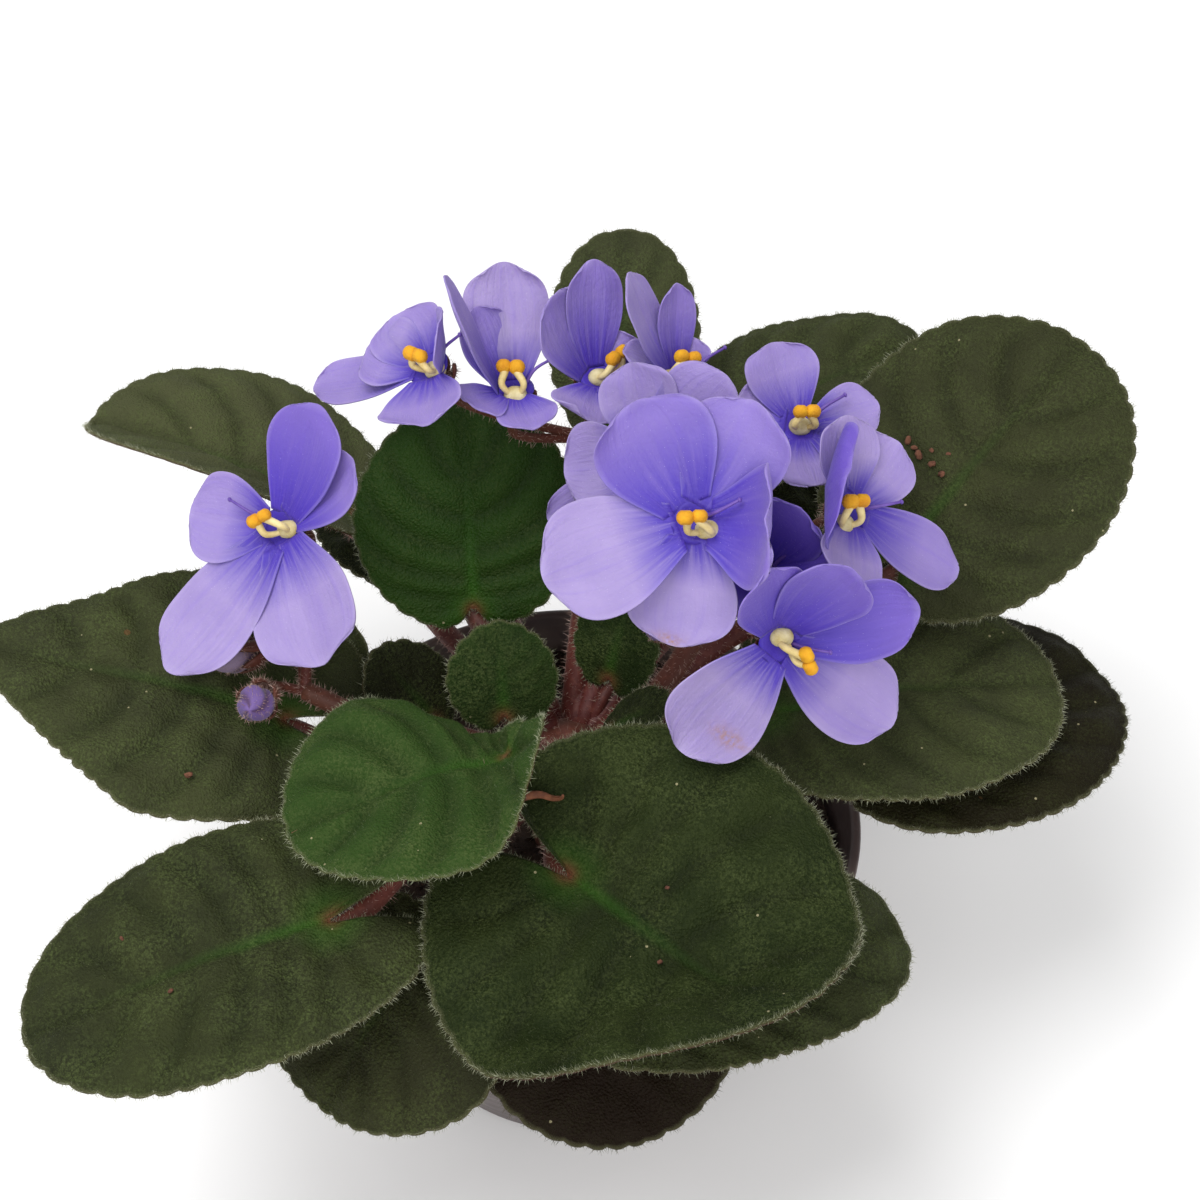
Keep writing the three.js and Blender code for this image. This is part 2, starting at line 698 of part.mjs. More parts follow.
// One stalk of a spray: from the spray's fork, round behind the bloom, to its calyx.
function pedicelSolid(fork, matrix, via) {
  const end = vec(0, 0, CALYX_FOOT + PEDICEL_INTO_CALYX).applyMatrix4(matrix);
  const behind = vec(0, 0, CALYX_FOOT - PEDICEL_BEHIND).applyMatrix4(matrix);
  const points = via ? [fork, above(...via), behind, end] : [fork, behind, end];
  return stalkSolid(points, PEDICEL_RADIUS, 5, 4);
}

// The turn and place of a bud: z points out of its tip.
function budMatrix(bud) {
  const turn = new THREE.Quaternion().setFromUnitVectors(vec(0, 0, 1), vec(...bud.look).normalize());
  return new THREE.Matrix4().makeRotationFromQuaternion(turn).setPosition(above(...bud.at));
}

function budSolid(bud) {
  const g = new THREE.SphereGeometry(1, 10, 7).rotateX(Math.PI / 2);
  const grow = new THREE.Matrix4().makeScale(bud.width / 2, bud.width / 2, bud.length / 2);
  const lift = new THREE.Matrix4().makeTranslation(0, 0, bud.length / 2 + CALYX_TOP + GAP);
  return solidOf(g, budMatrix(bud).multiply(lift).multiply(grow));
}

const stemPoints = (spray) => spray.stem.map((p) => above(...p));

function spraySolid(spray) {
  const points = stemPoints(spray);
  const fork = points.at(-1);
  const parts = [stalkSolid(points, STALK_RADIUS, 6, 8)];
  for (const name in spray.blooms) {
    const matrix = bloomMatrix(BLOOMS.find((bloom) => bloom.name === name));
    parts.push(calyxSolid(matrix), pedicelSolid(fork, matrix, spray.blooms[name]));
  }
  for (const bud of spray.buds) {
    const matrix = budMatrix(bud);
    parts.push(calyxSolid(matrix), pedicelSolid(fork, matrix, null));
  }
  return fuse(parts);
}

// ---------------------------------------------------------------- the crown
// The short stem that stands in the soil and that every leaf and spray grows from.
function crownSolid() {
  const profile = [
    [0, CROWN_ROOT],
    [0.7 * CROWN_RADIUS, CROWN_ROOT],
    [CROWN_RADIUS, CROWN_ROOT + 12],
    [CROWN_RADIUS, CROWN_TOP - 6],
    [0.72 * CROWN_RADIUS, CROWN_TOP - 1.5],
    [0, CROWN_TOP],
  ];
  return latheSolid(profile, 12);
}

// The plain hole in the crown that a spray's main stalk stands in.
function socketSolid(spray) {
  const [from, to] = stemPoints(spray);
  const radius = STALK_RADIUS + 1.6 * GAP;
  const below = vec(0, 0, 0).lerpVectors(from, to, -0.15);
  const over = vec(0, 0, 0).lerpVectors(from, to, 0.9);
  return rodSolid(below, over, radius, radius, 8);
}

function crownStalksSolid() {
  const grown = fuse([crownSolid(), ...LEAVES.map(petioleSolid)]);
  return largest(SPRAYS.reduce((left, spray) => left.subtract(socketSolid(spray)), grown));
}

// ---------------------------------------------------------------- the pot and the soil
const RIM_FOOT = POT_HEIGHT - RIM_BAND_HEIGHT;
const POT_NECK_RADIUS = POT_RIM_RADIUS - RIM_BAND_STEP - 2.6; // where the taper meets the rim's band
const INSIDE_RADIUS = POT_NECK_RADIUS + RIM_BAND_STEP - POT_WALL; // inside the rim's band

function potSolid() {
  const profile = [
    [0, 0],
    [POT_BASE_RADIUS - 1, 0],
    [POT_BASE_RADIUS, 1],
    [POT_NECK_RADIUS, RIM_FOOT - 0.6],
    [POT_NECK_RADIUS + RIM_BAND_STEP, RIM_FOOT],
    [POT_RIM_RADIUS - 0.3, POT_HEIGHT - 1],
    [POT_RIM_RADIUS - 0.9, POT_HEIGHT],
    [POT_RIM_RADIUS - POT_WALL, POT_HEIGHT],
    [INSIDE_RADIUS, RIM_FOOT + 1],
    [POT_NECK_RADIUS - POT_WALL, RIM_FOOT - 1],
    [POT_BASE_RADIUS - POT_WALL, POT_WALL],
    [0, POT_WALL],
  ];
  let pot = latheSolid(profile, POT_SIDES);
  for (let i = 0; i < DRAIN_HOLES; i++) {
    const angle = (2 * Math.PI * i) / DRAIN_HOLES;
    const x = DRAIN_CIRCLE_RADIUS * Math.cos(angle);
    const y = DRAIN_CIRCLE_RADIUS * Math.sin(angle);
    const [under, over] = [vec(x, y, -1), vec(x, y, POT_WALL + 1)];
    pot = pot.subtract(rodSolid(under, over, DRAIN_HOLE_RADIUS, DRAIN_HOLE_RADIUS, 6));
  }
  return pot;
}

// The soil fills the pot to below its rim, with a low mound and a plain hole that the crown stands in.
function soilSolid() {
  const top = POT_HEIGHT - SOIL_BELOW_RIM;
  const slack = 1.2 * GAP; // beside a sloping wall
  const profile = [
    [0, POT_WALL + GAP],
    [POT_BASE_RADIUS - POT_WALL - slack, POT_WALL + GAP],
    [POT_NECK_RADIUS - POT_WALL - slack, RIM_FOOT - 1],
    [INSIDE_RADIUS - slack, RIM_FOOT + 1],
    [INSIDE_RADIUS - GAP, top - 0.5],
    [0.75 * INSIDE_RADIUS, top],
    [0.4 * INSIDE_RADIUS, top + 1],
    [0, top + 1.4],
  ];
  const around = CROWN_RADIUS + GAP;
  const hole = rodSolid(vec(0, 0, CROWN_ROOT - GAP), vec(0, 0, COLLAR), around, around, 16);
  return latheSolid(profile, POT_SIDES).subtract(hole);
}

// ---------------------------------------------------------------- the whole plant
const plant = new THREE.Group();

function add(name, solid, material) {
  const mesh = new THREE.Mesh(geometryOf(solid), material);
  mesh.name = name;
  plant.add(mesh);
}

for (const leaf of LEAVES) add(leaf.name, bladeSolid(leaf), leaf.young ? YOUNG_GREEN : LEAF_GREEN);
for (const bloom of BLOOMS) {
  add("petals_" + bloom.name, corollaSolid(bloom), PETAL_VIOLET);
  add("anthers_" + bloom.name, antherSolid(bloom), ANTHER_YELLOW);
}
for (const spray of SPRAYS) {
  add("spray_" + spray.name, spraySolid(spray), STALK_RED);
  for (const bud of spray.buds) add(bud.name, budSolid(bud), BUD_MAUVE);
}
add("crown_stalks", crownStalksSolid(), STALK_RED);
add("soil", soilSolid(), SOIL_DARK);
add("pot", potSolid(), POT_PLASTIC);

export default plant;
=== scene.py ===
# %% [markdown]
# # A potted African violet
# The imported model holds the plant's plain solids at their real size. This lesson dresses them: every
# blade, petal and stalk is made again with its fine form, and each gets a finish built from nodes.
# Nothing is moved.
# %% Load the frame
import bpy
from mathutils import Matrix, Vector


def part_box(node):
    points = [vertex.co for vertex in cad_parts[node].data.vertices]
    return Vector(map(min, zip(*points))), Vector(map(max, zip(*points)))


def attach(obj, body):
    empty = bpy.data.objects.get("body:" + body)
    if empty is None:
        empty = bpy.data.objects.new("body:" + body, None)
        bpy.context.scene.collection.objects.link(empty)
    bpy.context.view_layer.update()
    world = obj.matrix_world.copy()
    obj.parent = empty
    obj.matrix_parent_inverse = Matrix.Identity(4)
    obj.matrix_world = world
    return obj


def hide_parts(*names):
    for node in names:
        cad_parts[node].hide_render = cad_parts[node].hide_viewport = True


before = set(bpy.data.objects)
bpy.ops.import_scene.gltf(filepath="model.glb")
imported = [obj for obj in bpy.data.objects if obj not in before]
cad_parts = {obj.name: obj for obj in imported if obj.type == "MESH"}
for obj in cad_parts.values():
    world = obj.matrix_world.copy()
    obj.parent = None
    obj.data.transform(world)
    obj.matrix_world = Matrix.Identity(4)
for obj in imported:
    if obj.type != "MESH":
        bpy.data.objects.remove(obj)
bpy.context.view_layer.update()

# %% [markdown]
# Sizes are written in millimetres, as on a drawing, and turned into metres where a mesh is made. Heights
# called `up` are counted from the collar of the crown, where the leaves spring, which stands a neck above
# the pot's rim.
# %% Units and the plant's main levels
import math

import bpy
import numpy as np
from mathutils import Matrix, Vector

MM = 0.001
POT_LOW, POT_HIGH = [np.array(corner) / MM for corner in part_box("pot")]
NECK = 17.0
RIM = POT_HIGH[2]
COLLAR = RIM + NECK
SMALLEST = 1e-9  # stands in for nought where a length divides
print("rim and collar, mm:", round(RIM, 1), round(COLLAR, 1))


def above(x, y, up):
    return np.array([x, y, COLLAR + up], float)


def unit(vectors):
    return vectors / np.maximum(np.linalg.norm(vectors, axis=-1, keepdims=True), SMALLEST)


def smooth_step(low, high, value):
    share = np.clip((value - low) / (high - low), 0, 1)
    return share * share * (3 - 2 * share)


def near(distance, width):
    """1 at no distance, which falls off like a bell within the width."""
    return np.exp(-((distance / width) ** 2))


# %% [markdown]
# The camera looks down at the plant at 45 degrees, as the photograph's does, through a long lens, so that
# the leaves at the front don't loom. It is set by the point that it aims at and its distance.
# %% Camera
CAMERA_AIM = (5.1, 18.0, COLLAR + 17.9)
CAMERA_ELEVATION = 45
CAMERA_DISTANCE = 400
SENSOR_WIDTH = 36
FOCAL_SHARE = 2360 / 1200  # the focal length, in widths of the picture
NEAREST_SEEN = 0.01

camera = bpy.data.objects.new("camera", bpy.data.cameras.new("camera"))
bpy.context.scene.collection.objects.link(camera)
tilt = math.radians(CAMERA_ELEVATION)
back = Vector((0, -math.cos(tilt), math.sin(tilt)))
camera.location = (Vector(CAMERA_AIM) + back * CAMERA_DISTANCE) * MM
camera.rotation_euler = (math.pi / 2 - tilt, 0, 0)
camera.data.sensor_width = SENSOR_WIDTH
camera.data.lens = FOCAL_SHARE * SENSOR_WIDTH
camera.data.clip_start = NEAREST_SEEN
bpy.context.scene.camera = camera
print("lens, mm:", round(camera.data.lens, 1))

# %% [markdown]
# A mesh here is an array of points and a list of faces. `Shape` collects several such lumps, with a
# number or more for each point that a material can read, and makes them one object that stands at the
# origin.
# %% Points and faces into objects
class Shape:
    def __init__(self):
        self.points, self.faces, self.slots, self.marks, self.uvs = [], [], [], {}, []
        self.count = 0

    def add(self, points, faces, slot=0, uv=None, **marks):
        points = np.asarray(points, float)
        faces = [tuple(int(i) + self.count for i in face) for face in faces]
        for key in set(self.marks) | set(marks):
            lump = self.marks.setdefault(key, [np.zeros(self.count)])
            lump.append(np.broadcast_to(marks.get(key, 0.0), len(points)))
        self.points.append(points)
        self.faces += faces
        self.slots += [slot] * len(faces)
        self.uvs.append(np.zeros((len(points), 2)) if uv is None else uv)
        self.count += len(points)

    def to_object(self, name, materials):
        mesh = bpy.data.meshes.new(name)
        mesh.from_pydata(np.concatenate(self.points) * MM, [], self.faces)
        for material in materials:
            mesh.materials.append(material)
        mesh.polygons.foreach_set("material_index", self.slots)
        mesh.polygons.foreach_set("use_smooth", [True] * len(self.faces))
        for key, lumps in self.marks.items():
            layer = mesh.attributes.new(key, "FLOAT", "POINT")
            layer.data.foreach_set("value", np.concatenate(lumps).astype(np.float32))
        corner = np.zeros(len(mesh.loops), np.int32)
        mesh.loops.foreach_get("vertex_index", corner)
        layer = mesh.uv_layers.new(name="UVMap")
        layer.data.foreach_set("uv", np.concatenate(self.uvs)[corner].astype(np.float32).ravel())
        mesh.update()
        made = bpy.data.objects.new(name, mesh)
        bpy.context.scene.collection.objects.link(made)
        return made


# %% [markdown]
# This plant is one body, so every piece rides on the root.
# %% Dressing a piece
def dress(piece, slot, *nodes):
    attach(piece, "root")
    if nodes:
        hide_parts(*nodes)
    return piece


# %% [markdown]
# Most of the plant is either a sheet, which is a grid of rows, or a tube, which is a ring swept along a
# path. Both are quads. A closed grid joins its last column to its first.
# %% Grids, fans and sheets
def grid_faces(rows, columns, closed, first=0, flip=False):
    across = columns if closed else columns - 1
    row, column = np.meshgrid(np.arange(rows - 1), np.arange(across), indexing="ij")
    right = (column + 1) % columns
    here, below = row * columns, (row + 1) * columns
    faces = np.stack([here + column, below + column, below + right, here + right], -1)
    faces = faces.reshape(-1, 4) + first
    return faces[:, ::-1] if flip else faces


def fan_faces(pole, ring, flip=False):
    turned = np.roll(ring, -1)
    faces = [(pole, a, b) for a, b in zip(ring, turned)]
    return [face[::-1] for face in faces] if flip else faces


def turned_faces(rings, columns):
    """Faces of a closed turned shape: its rings in order, then the pole at its start and its end."""
    count = rings * columns
    faces = list(grid_faces(rings, columns, True, flip=True))
    faces += fan_faces(count, np.arange(columns), flip=True)
    return faces + fan_faces(count + 1, np.arange(count - columns, count))


def turned_points(profile, sides):
    """The rings of a turned shape, from its profile of radii and heights, then its two poles."""
    turn = np.linspace(0, 2 * math.pi, sides, endpoint=False)
    rings = [np.stack([r * np.cos(turn), r * np.sin(turn), np.full(sides, z)], -1) for r, z in profile[1:-1]]
    return np.vstack([*rings, [[0, 0, profile[0][1]], [0, 0, profile[-1][1]]]])


def sheet_faces(rows, columns):
    """Faces of a thin closed sheet: its upper grid, its lower grid, and the rim that joins them."""
    count = rows * columns
    faces = list(grid_faces(rows, columns, False, flip=True))
    faces += list(grid_faces(rows, columns, False, count))
    index = np.arange(count).reshape(rows, columns)
    rim = np.concatenate([index[0, :-1], index[:-1, -1], index[-1, :0:-1], index[:0:-1, 0]])
    ahead = np.roll(rim, -1)
    return faces + list(np.stack([rim, rim + count, ahead + count, ahead], -1))


print("faces of a small sheet:", len(sheet_faces(4, 3)))

# %% [markdown]
# A stalk is a ring swept along a smooth path. The ring is carried from point to point without a twist,
# and each end is closed by a low point. The path is a curve that passes through a few given points.
# %% Paths and tubes
TUBE_END = 0.4  # how far a tube's end stands out, as a share of its radius
ASKEW = (0.3, 0.5, 0.8)  # a direction that no path starts along


def smooth_path(points, count):
    """A centripetal Catmull-Rom curve through the points."""
    knots = np.asarray(points, float)
    knots = np.vstack([2 * knots[0] - knots[1], knots, 2 * knots[-1] - knots[-2]])
    spans = len(knots) - 3
    out = []
    for share in np.linspace(0, spans, count):
        i = min(int(share), spans - 1)
        a, b, c, d = knots[i : i + 4]
        pairs = (a, b), (b, c), (c, d)
        before, here, after = [max(np.linalg.norm(q - p), SMALLEST) ** 0.5 for p, q in pairs]
        leave = ((b - a) / before - (c - a) / (before + here) + (c - b) / here) * here
        arrive = ((c - b) / here - (d - b) / (here + after) + (d - c) / after) * here
        t = share - i
        bend = 3 * (c - b) - 2 * leave - arrive
        out.append(b + leave * t + bend * t**2 + (2 * (b - c) + leave + arrive) * t**3)
    return np.array(out)


def tube(path, radii, sides):
    """Points and faces of a round tube along a path, and each point's share of the way along."""
    path = np.asarray(path, float)
    radii = np.broadcast_to(radii, len(path)).astype(float)
    ahead = unit(np.gradient(path, axis=0))
    side = unit(np.cross(ahead[0], ASKEW))
    turn = np.linspace(0, 2 * math.pi, sides, endpoint=False)
    rings = []
    for point, way, radius in zip(path, ahead, radii):
        side = unit(side - way * (side @ way))
        other = np.cross(way, side)
        rings.append(point + radius * (np.outer(np.cos(turn), side) + np.outer(np.sin(turn), other)))
    ends = [path[0] - ahead[0] * radii[0] * TUBE_END, path[-1] + ahead[-1] * radii[-1] * TUBE_END]
    along = np.append(np.repeat(np.linspace(0, 1, len(path)), sides), [0, 1])
    return np.vstack([*rings, ends]), turned_faces(len(path), sides), along


print("faces of a short tube:", len(tube([(0, 0, 0), (0, 0, 1)], 1, 6)[1]))

# %% [markdown]
# A leaf blade starts flat: a midrib along x, and an outline that is an oval with a narrow notch where the
# stalk joins. African violet margins are crenate, cut into small rounded teeth. The flat shape is then
# folded, cupped and arched on to its surface, and turned to its place.
# %% The leaves of the rosette
# joint: the stalk's end, as a compass angle, a distance from the axis and a height above the collar.
# head, pitch, roll: the midrib's heading and climb, and the blade's turn round it. size: its length and
# width. tip: how full its end is. lobe: how far it runs back past the stalk. left: the fold of its left
# half. turns: the parts that curl up, or down, past a line, as the line's direction from the midrib, its
# distance from the middle, and the angle. via: a point that the stalk passes. relief: the depth of its
# veins. fresh: how bright green it is. dusty: how much a painted sheen greys it. wine:
# how dark red-brown it is, partly its own red and partly painted shade on a leaf that lies in shadow.
# sleek: how smooth it looks.
LEAVES = [
    dict(name="leaf_back_left", joint=(135, 53.7, 19), head=167, pitch=24.5, size=(49, 47), tip=2, left=46,
         via=(-20.7, 20.5, 6), dusty=1.0),
    dict(name="leaf_left", joint=(184, 46.6, 12), head=172, pitch=17, roll=-8, size=(56, 50), tip=1.1,
         lobe=0.3, via=(-25, -10, 3), dusty=0.45),
    dict(name="leaf_front_left", joint=(231, 57, 12), head=199, pitch=-3, roll=-6, size=(50, 43), tip=2.0,
         lobe=0.36, dusty=0.25),
    dict(name="leaf_young_folded", joint=(252, 27.4, 29.5), head=198, pitch=0, roll=5, size=(36.5, 47),
         left=12, lobe=0.34, relief=1.35, turns=((165, 10, 65), (-145, 7, -50)), foot=0.05, fresh=0.9,
         dusty=0.12),
    dict(name="leaf_front", joint=(270, 41.5, 19), head=-38, pitch=-6, roll=17, size=(48, 66), lobe=0.4,
         turns=((-30, 10.5, 62),), fresh=0.2, wine=0.2, relief=0.7),
    dict(name="leaf_low_front_left", joint=(243, 48.5, 5), head=232, pitch=-25, roll=2, size=(31, 47),
         wine=0.35, dusty=0.3),
    dict(name="leaf_low_front", joint=(276, 48, 4.5), head=276, pitch=-22, size=(28, 40), wine=1),
    dict(name="leaf_low_front_right", joint=(279, 58, 9), head=25, pitch=-4, roll=10, size=(51, 33), tip=2.2,
         lobe=0.25, dusty=0.3),
    dict(name="leaf_right", joint=(-1, 32, 10), head=8, pitch=9, size=(51, 48), tip=2.1, dusty=0.45),
    dict(name="leaf_low_right", joint=(-8, 49, 4.5), head=33, pitch=2, size=(53, 52), wine=0.7),
    dict(name="leaf_back_right", joint=(22, 59.5, 23), head=40, pitch=38, roll=10, size=(50, 51), tip=2.0,
         dusty=0.45, wine=0.2),
    dict(name="leaf_back_right_far", joint=(66, 55, 24), head=26, pitch=18, size=(48, 38), dusty=0.45),
    dict(name="leaf_back", joint=(79, 49, 31), head=90, pitch=43, size=(36, 27), tip=2.1, sag=0, dusty=0.6),
    dict(name="leaf_centre_back", joint=(135, 23, 17), head=95, pitch=64, size=(36, 39), lobe=0.1, fresh=0.8,
         sleek=0.8, relief=0.9),
    dict(name="leaf_crown_centre", joint=(175, 11, 7), head=95, pitch=68, size=(17, 19), fresh=0.45),
    dict(name="leaf_crown_left", joint=(173, 23, 3.6), head=150, pitch=52, size=(16.5, 19.5),
         via=(-15, -4, -1), wine=0.3),
    dict(name="leaf_crown_sliver", joint=(167.5, 36, 4), head=120, pitch=60, roll=-62, size=(13.5, 8.5),
         via=(-19, 4, 0), dusty=0.7),
    dict(name="leaf_crown_right", joint=(50, 10, 9), head=60, pitch=68, size=(17, 16), fresh=0.3),
    dict(name="leaf_bud_right", joint=(-52, 10, 13), head=-10, pitch=50, size=(14, 13)),
    dict(name="leaf_low_back_left", joint=(114, 41, 7), head=122, pitch=0, size=(44, 42)),
    dict(name="leaf_low_back", joint=(77, 42, 4), head=76, pitch=2, size=(44, 40)),
    dict(name="leaf_low_back_right", joint=(47, 46, 12), head=44, pitch=4, size=(44, 38)),
]
LOBE = 0.16
NOTCH_WIDTH = 0.14
BLUNT_TIP = 1.85
BLADE_BEND = 18
BLADE_FOLD = 8
BLADE_CUP = -0.1
MIDRIB_SOFTNESS = 0.12
LARGE_BLADE = 30
CURL_LENGTH = 5.0  # half the stretch over which a curled part turns up
TOOTH = 3.6  # the length of one tooth of the margin
TOOTH_DEPTH = 0.55
print(len(LEAVES), "leaves")


def middle_of(leaf):
    return (1 - leaf.get("lobe", LOBE)) / 2 * leaf["size"][0]


def outline(leaf, angle):
    """The smooth outline's distance from the blade's middle, at angles from the tip."""
    length, width = leaf["size"]
    lobe = leaf.get("lobe", LOBE)
    along = (1 + lobe) / 2 * length
    power = np.where(np.cos(angle) > 0, leaf.get("tip", BLUNT_TIP), 2.0)
    ahead, aside = np.cos(angle) / along, np.sin(angle) * 2 / width
    oval = (np.abs(ahead) ** power + np.abs(aside) ** power) ** (-1 / power)
    notch = lobe * length / along * near(math.pi - np.abs(angle), NOTCH_WIDTH)
    return oval * (1 - notch)


def blade_surface(leaf, x, y):
    """Takes flat points on to the folded, cupped and arched middle surface, in the blade's own frame."""
    length, width = leaf["size"]
    lift = np.zeros_like(x)
    for direction, start, up in np.radians(leaf.get("turns", [])):
        past = (x - middle_of(leaf)) * math.cos(direction) + y * math.sin(direction) - math.degrees(start)
        angle = np.clip((past + CURL_LENGTH) / (2 * CURL_LENGTH), 0, 1) * up
        beyond = np.maximum(past - CURL_LENGTH, 0)
        bow = 2 * CURL_LENGTH / up
        reach = np.where(past < -CURL_LENGTH, past, bow * np.sin(angle) - CURL_LENGTH + beyond * math.cos(up))
        lift += bow * (1 - np.cos(angle)) + beyond * math.sin(up)
        x = x + (reach - past) * math.cos(direction)
        y = y + (reach - past) * math.sin(direction)
    fold = np.radians(np.where(y > 0, leaf.get("left", BLADE_FOLD), BLADE_FOLD))
    half = width / 2
    soft = MIDRIB_SOFTNESS * half
    out = np.sqrt(y * y + soft * soft) - soft
    rise = out * np.sin(fold) + BLADE_CUP * half * (y / half) ** 2 + lift
    bend = math.radians(BLADE_BEND) / length
    return np.stack([
        np.sin(bend * x) / bend + rise * np.sin(bend * x),
        y * np.cos(fold),
        (np.cos(bend * x) - 1) / bend + rise * np.cos(bend * x),
    ], -1)


def leaf_frame(leaf):
    """The blade's own axes as the columns of a turn, and its origin: the stalk's end."""
    head, pitch, roll = [math.radians(leaf.get(key, 0)) for key in ("head", "pitch", "roll")]
    x = Vector((math.cos(head) * math.cos(pitch), math.sin(head) * math.cos(pitch), math.sin(pitch)))
    y = Matrix.Rotation(roll, 3, x) @ Vector((-math.sin(head), math.cos(head), 0))
    az, reach, up = leaf["joint"]
    origin = above(reach * math.cos(math.radians(az)), reach * math.sin(math.radians(az)), up)
    return np.array([x, y, x.cross(y)]).T, origin


print("the first leaf's stalk ends at, mm:", leaf_frame(LEAVES[0])[1].round(1))

# %% [markdown]
# The upper face of the blade sinks along its veins and puffs up between them. The side veins leave the
# midrib and bow forward to the margin, so each is a short Bezier curve. What matters at a point is its
# distance to the nearest vein, which drives the relief and is kept on the mesh for the material.
# %% Veins
VEIN_PAIRS = 6
VEIN_STEPS = 14
VEIN_REACH = 0.97  # how much of the way to the margin a side vein runs
FIRST_VEIN, LAST_VEIN = 146, 22  # where the side veins end, as degrees round the blade's middle


def vein_lines(leaf):
    """The side veins as lines of flat points."""
    length = leaf["size"][0]
    lines = []
    for share in np.linspace(0, 1, VEIN_PAIRS):
        angle = math.radians(FIRST_VEIN - (FIRST_VEIN - LAST_VEIN) * share)
        reach = float(outline(leaf, np.array([angle]))[0]) * VEIN_REACH
        start = np.array([length * (0.01 + 0.62 * share**1.6), 0.0])
        end = np.array([middle_of(leaf) + reach * math.cos(angle), reach * math.sin(angle)])
        bow = np.array([start[0] + 0.16 * (end[0] - start[0]), 0.72 * end[1]])
        t = np.linspace(0, 1, VEIN_STEPS)[:, None]
        line = (1 - t) ** 2 * start + 2 * t * (1 - t) * bow + t**2 * end
        lines += [line, line * [1, -1]]
    return lines


def distance_to(line, points):
    """The least distance from each flat point to a line of segments."""
    a, b = line[:-1], line[1:]
    run = b - a
    share = ((points[:, None] - a) * run).sum(-1) / np.maximum((run * run).sum(-1), SMALLEST)
    nearest = a + np.clip(share, 0, 1)[..., None] * run
    return np.linalg.norm(points[:, None] - nearest, axis=-1).min(1)


print("side veins of a leaf:", len(vein_lines(LEAVES[0])))

# %% [markdown]
# The mesh of a blade is made of rings round its middle, which follow the margin without stray points.
# Both faces share one middle surface, each moved out along its normal, and a rounded rim closes them. The
# random waves come from a generator that is seeded by the leaf's number, so each run gives the same
# plant.
# %% The surface of a blade
BLADE_THICKNESS = 0.95
RIM_THICKNESS = 0.55
RIM_BULGE = 0.18
RELIEF = 0.75  # how deep the veins are sunk
WAVES = 5  # the sines that make up a wavy surface


def waves(generator, x, y, reach):
    """A smooth random surface from a few sines whose waves are about reach long."""
    out = np.zeros_like(x)
    for _ in range(WAVES):
        heading = generator.uniform(0, 2 * math.pi)
        length = reach * generator.uniform(0.7, 1.6)
        across = (x * math.cos(heading) + y * math.sin(heading)) * 2 * math.pi / length
        out += np.sin(across + generator.uniform(0, 6.3))
    return out / WAVES


def blade_points(leaf, x, y, height):
    """World points at a height over the blade's middle surface."""
    step = 0.05
    here = blade_surface(leaf, x, y)
    ahead = blade_surface(leaf, x + step, y) - here
    aside = blade_surface(leaf, x, y + step) - here
    turn, origin = leaf_frame(leaf)
    return (here + unit(np.cross(ahead, aside)) * height[:, None]) @ turn.T + origin


def tooth_rings(leaf, generator):
    """The blade's flat rings: how many, their points, how far out each is, and the margin's unevenness."""
    length, width = leaf["size"]
    large = length > LARGE_BLADE
    teeth = round(math.pi * (length + width) / 2 / TOOTH)
    columns, rows = teeth * (6 if large else 5), 26 if large else 14
    angle = np.linspace(0, 2 * math.pi, columns, endpoint=False)
    angle = np.where(angle > math.pi, angle - 2 * math.pi, angle)
    smooth = outline(leaf, angle)
    phase = np.arange(columns) / columns * teeth * math.pi + 0.7 * waves(generator, angle * 9, angle * 4, 12)
    uneven = 1 + 0.45 * waves(generator, angle * 7, -angle * 5, 9)
    toothed = smooth - TOOTH_DEPTH * uneven * (1 - np.abs(np.cos(phase))) ** 1.5
    share = np.linspace(0, 1, rows + 1)[1:] ** 0.85
    reach = smooth * share[:, None] + (toothed - smooth) * share[:, None] ** 10
    x = np.append(middle_of(leaf), (middle_of(leaf) + reach * np.cos(angle)).ravel())
    y = np.append(0.0, (reach * np.sin(angle)).ravel())
    out = np.append(0.0, np.repeat(share, columns))
    return rows, columns, x, y, out, np.append(0.0, np.tile(uneven, rows))


def blade_faces(rows, columns, count):
    """Faces of the upper skin, the lower skin and the rounded rim between them."""
    ring = np.arange(columns)
    faces = fan_faces(0, ring + 1) + fan_faces(count, ring + 1 + count, flip=True)
    faces += list(grid_faces(rows, columns, True, 1))
    faces += list(grid_faces(rows, columns, True, 1 + count, flip=True))
    top, bottom, rim = ring + count - columns, ring + 2 * count - columns, ring + 2 * count
    for upper, lower in ((top, rim), (rim, bottom)):
        faces += list(np.stack([upper, lower, np.roll(lower, -1), np.roll(upper, -1)], -1))
    return faces


print("a leaf's stalk enters, mm from its middle:", round(middle_of(LEAVES[0]), 1))

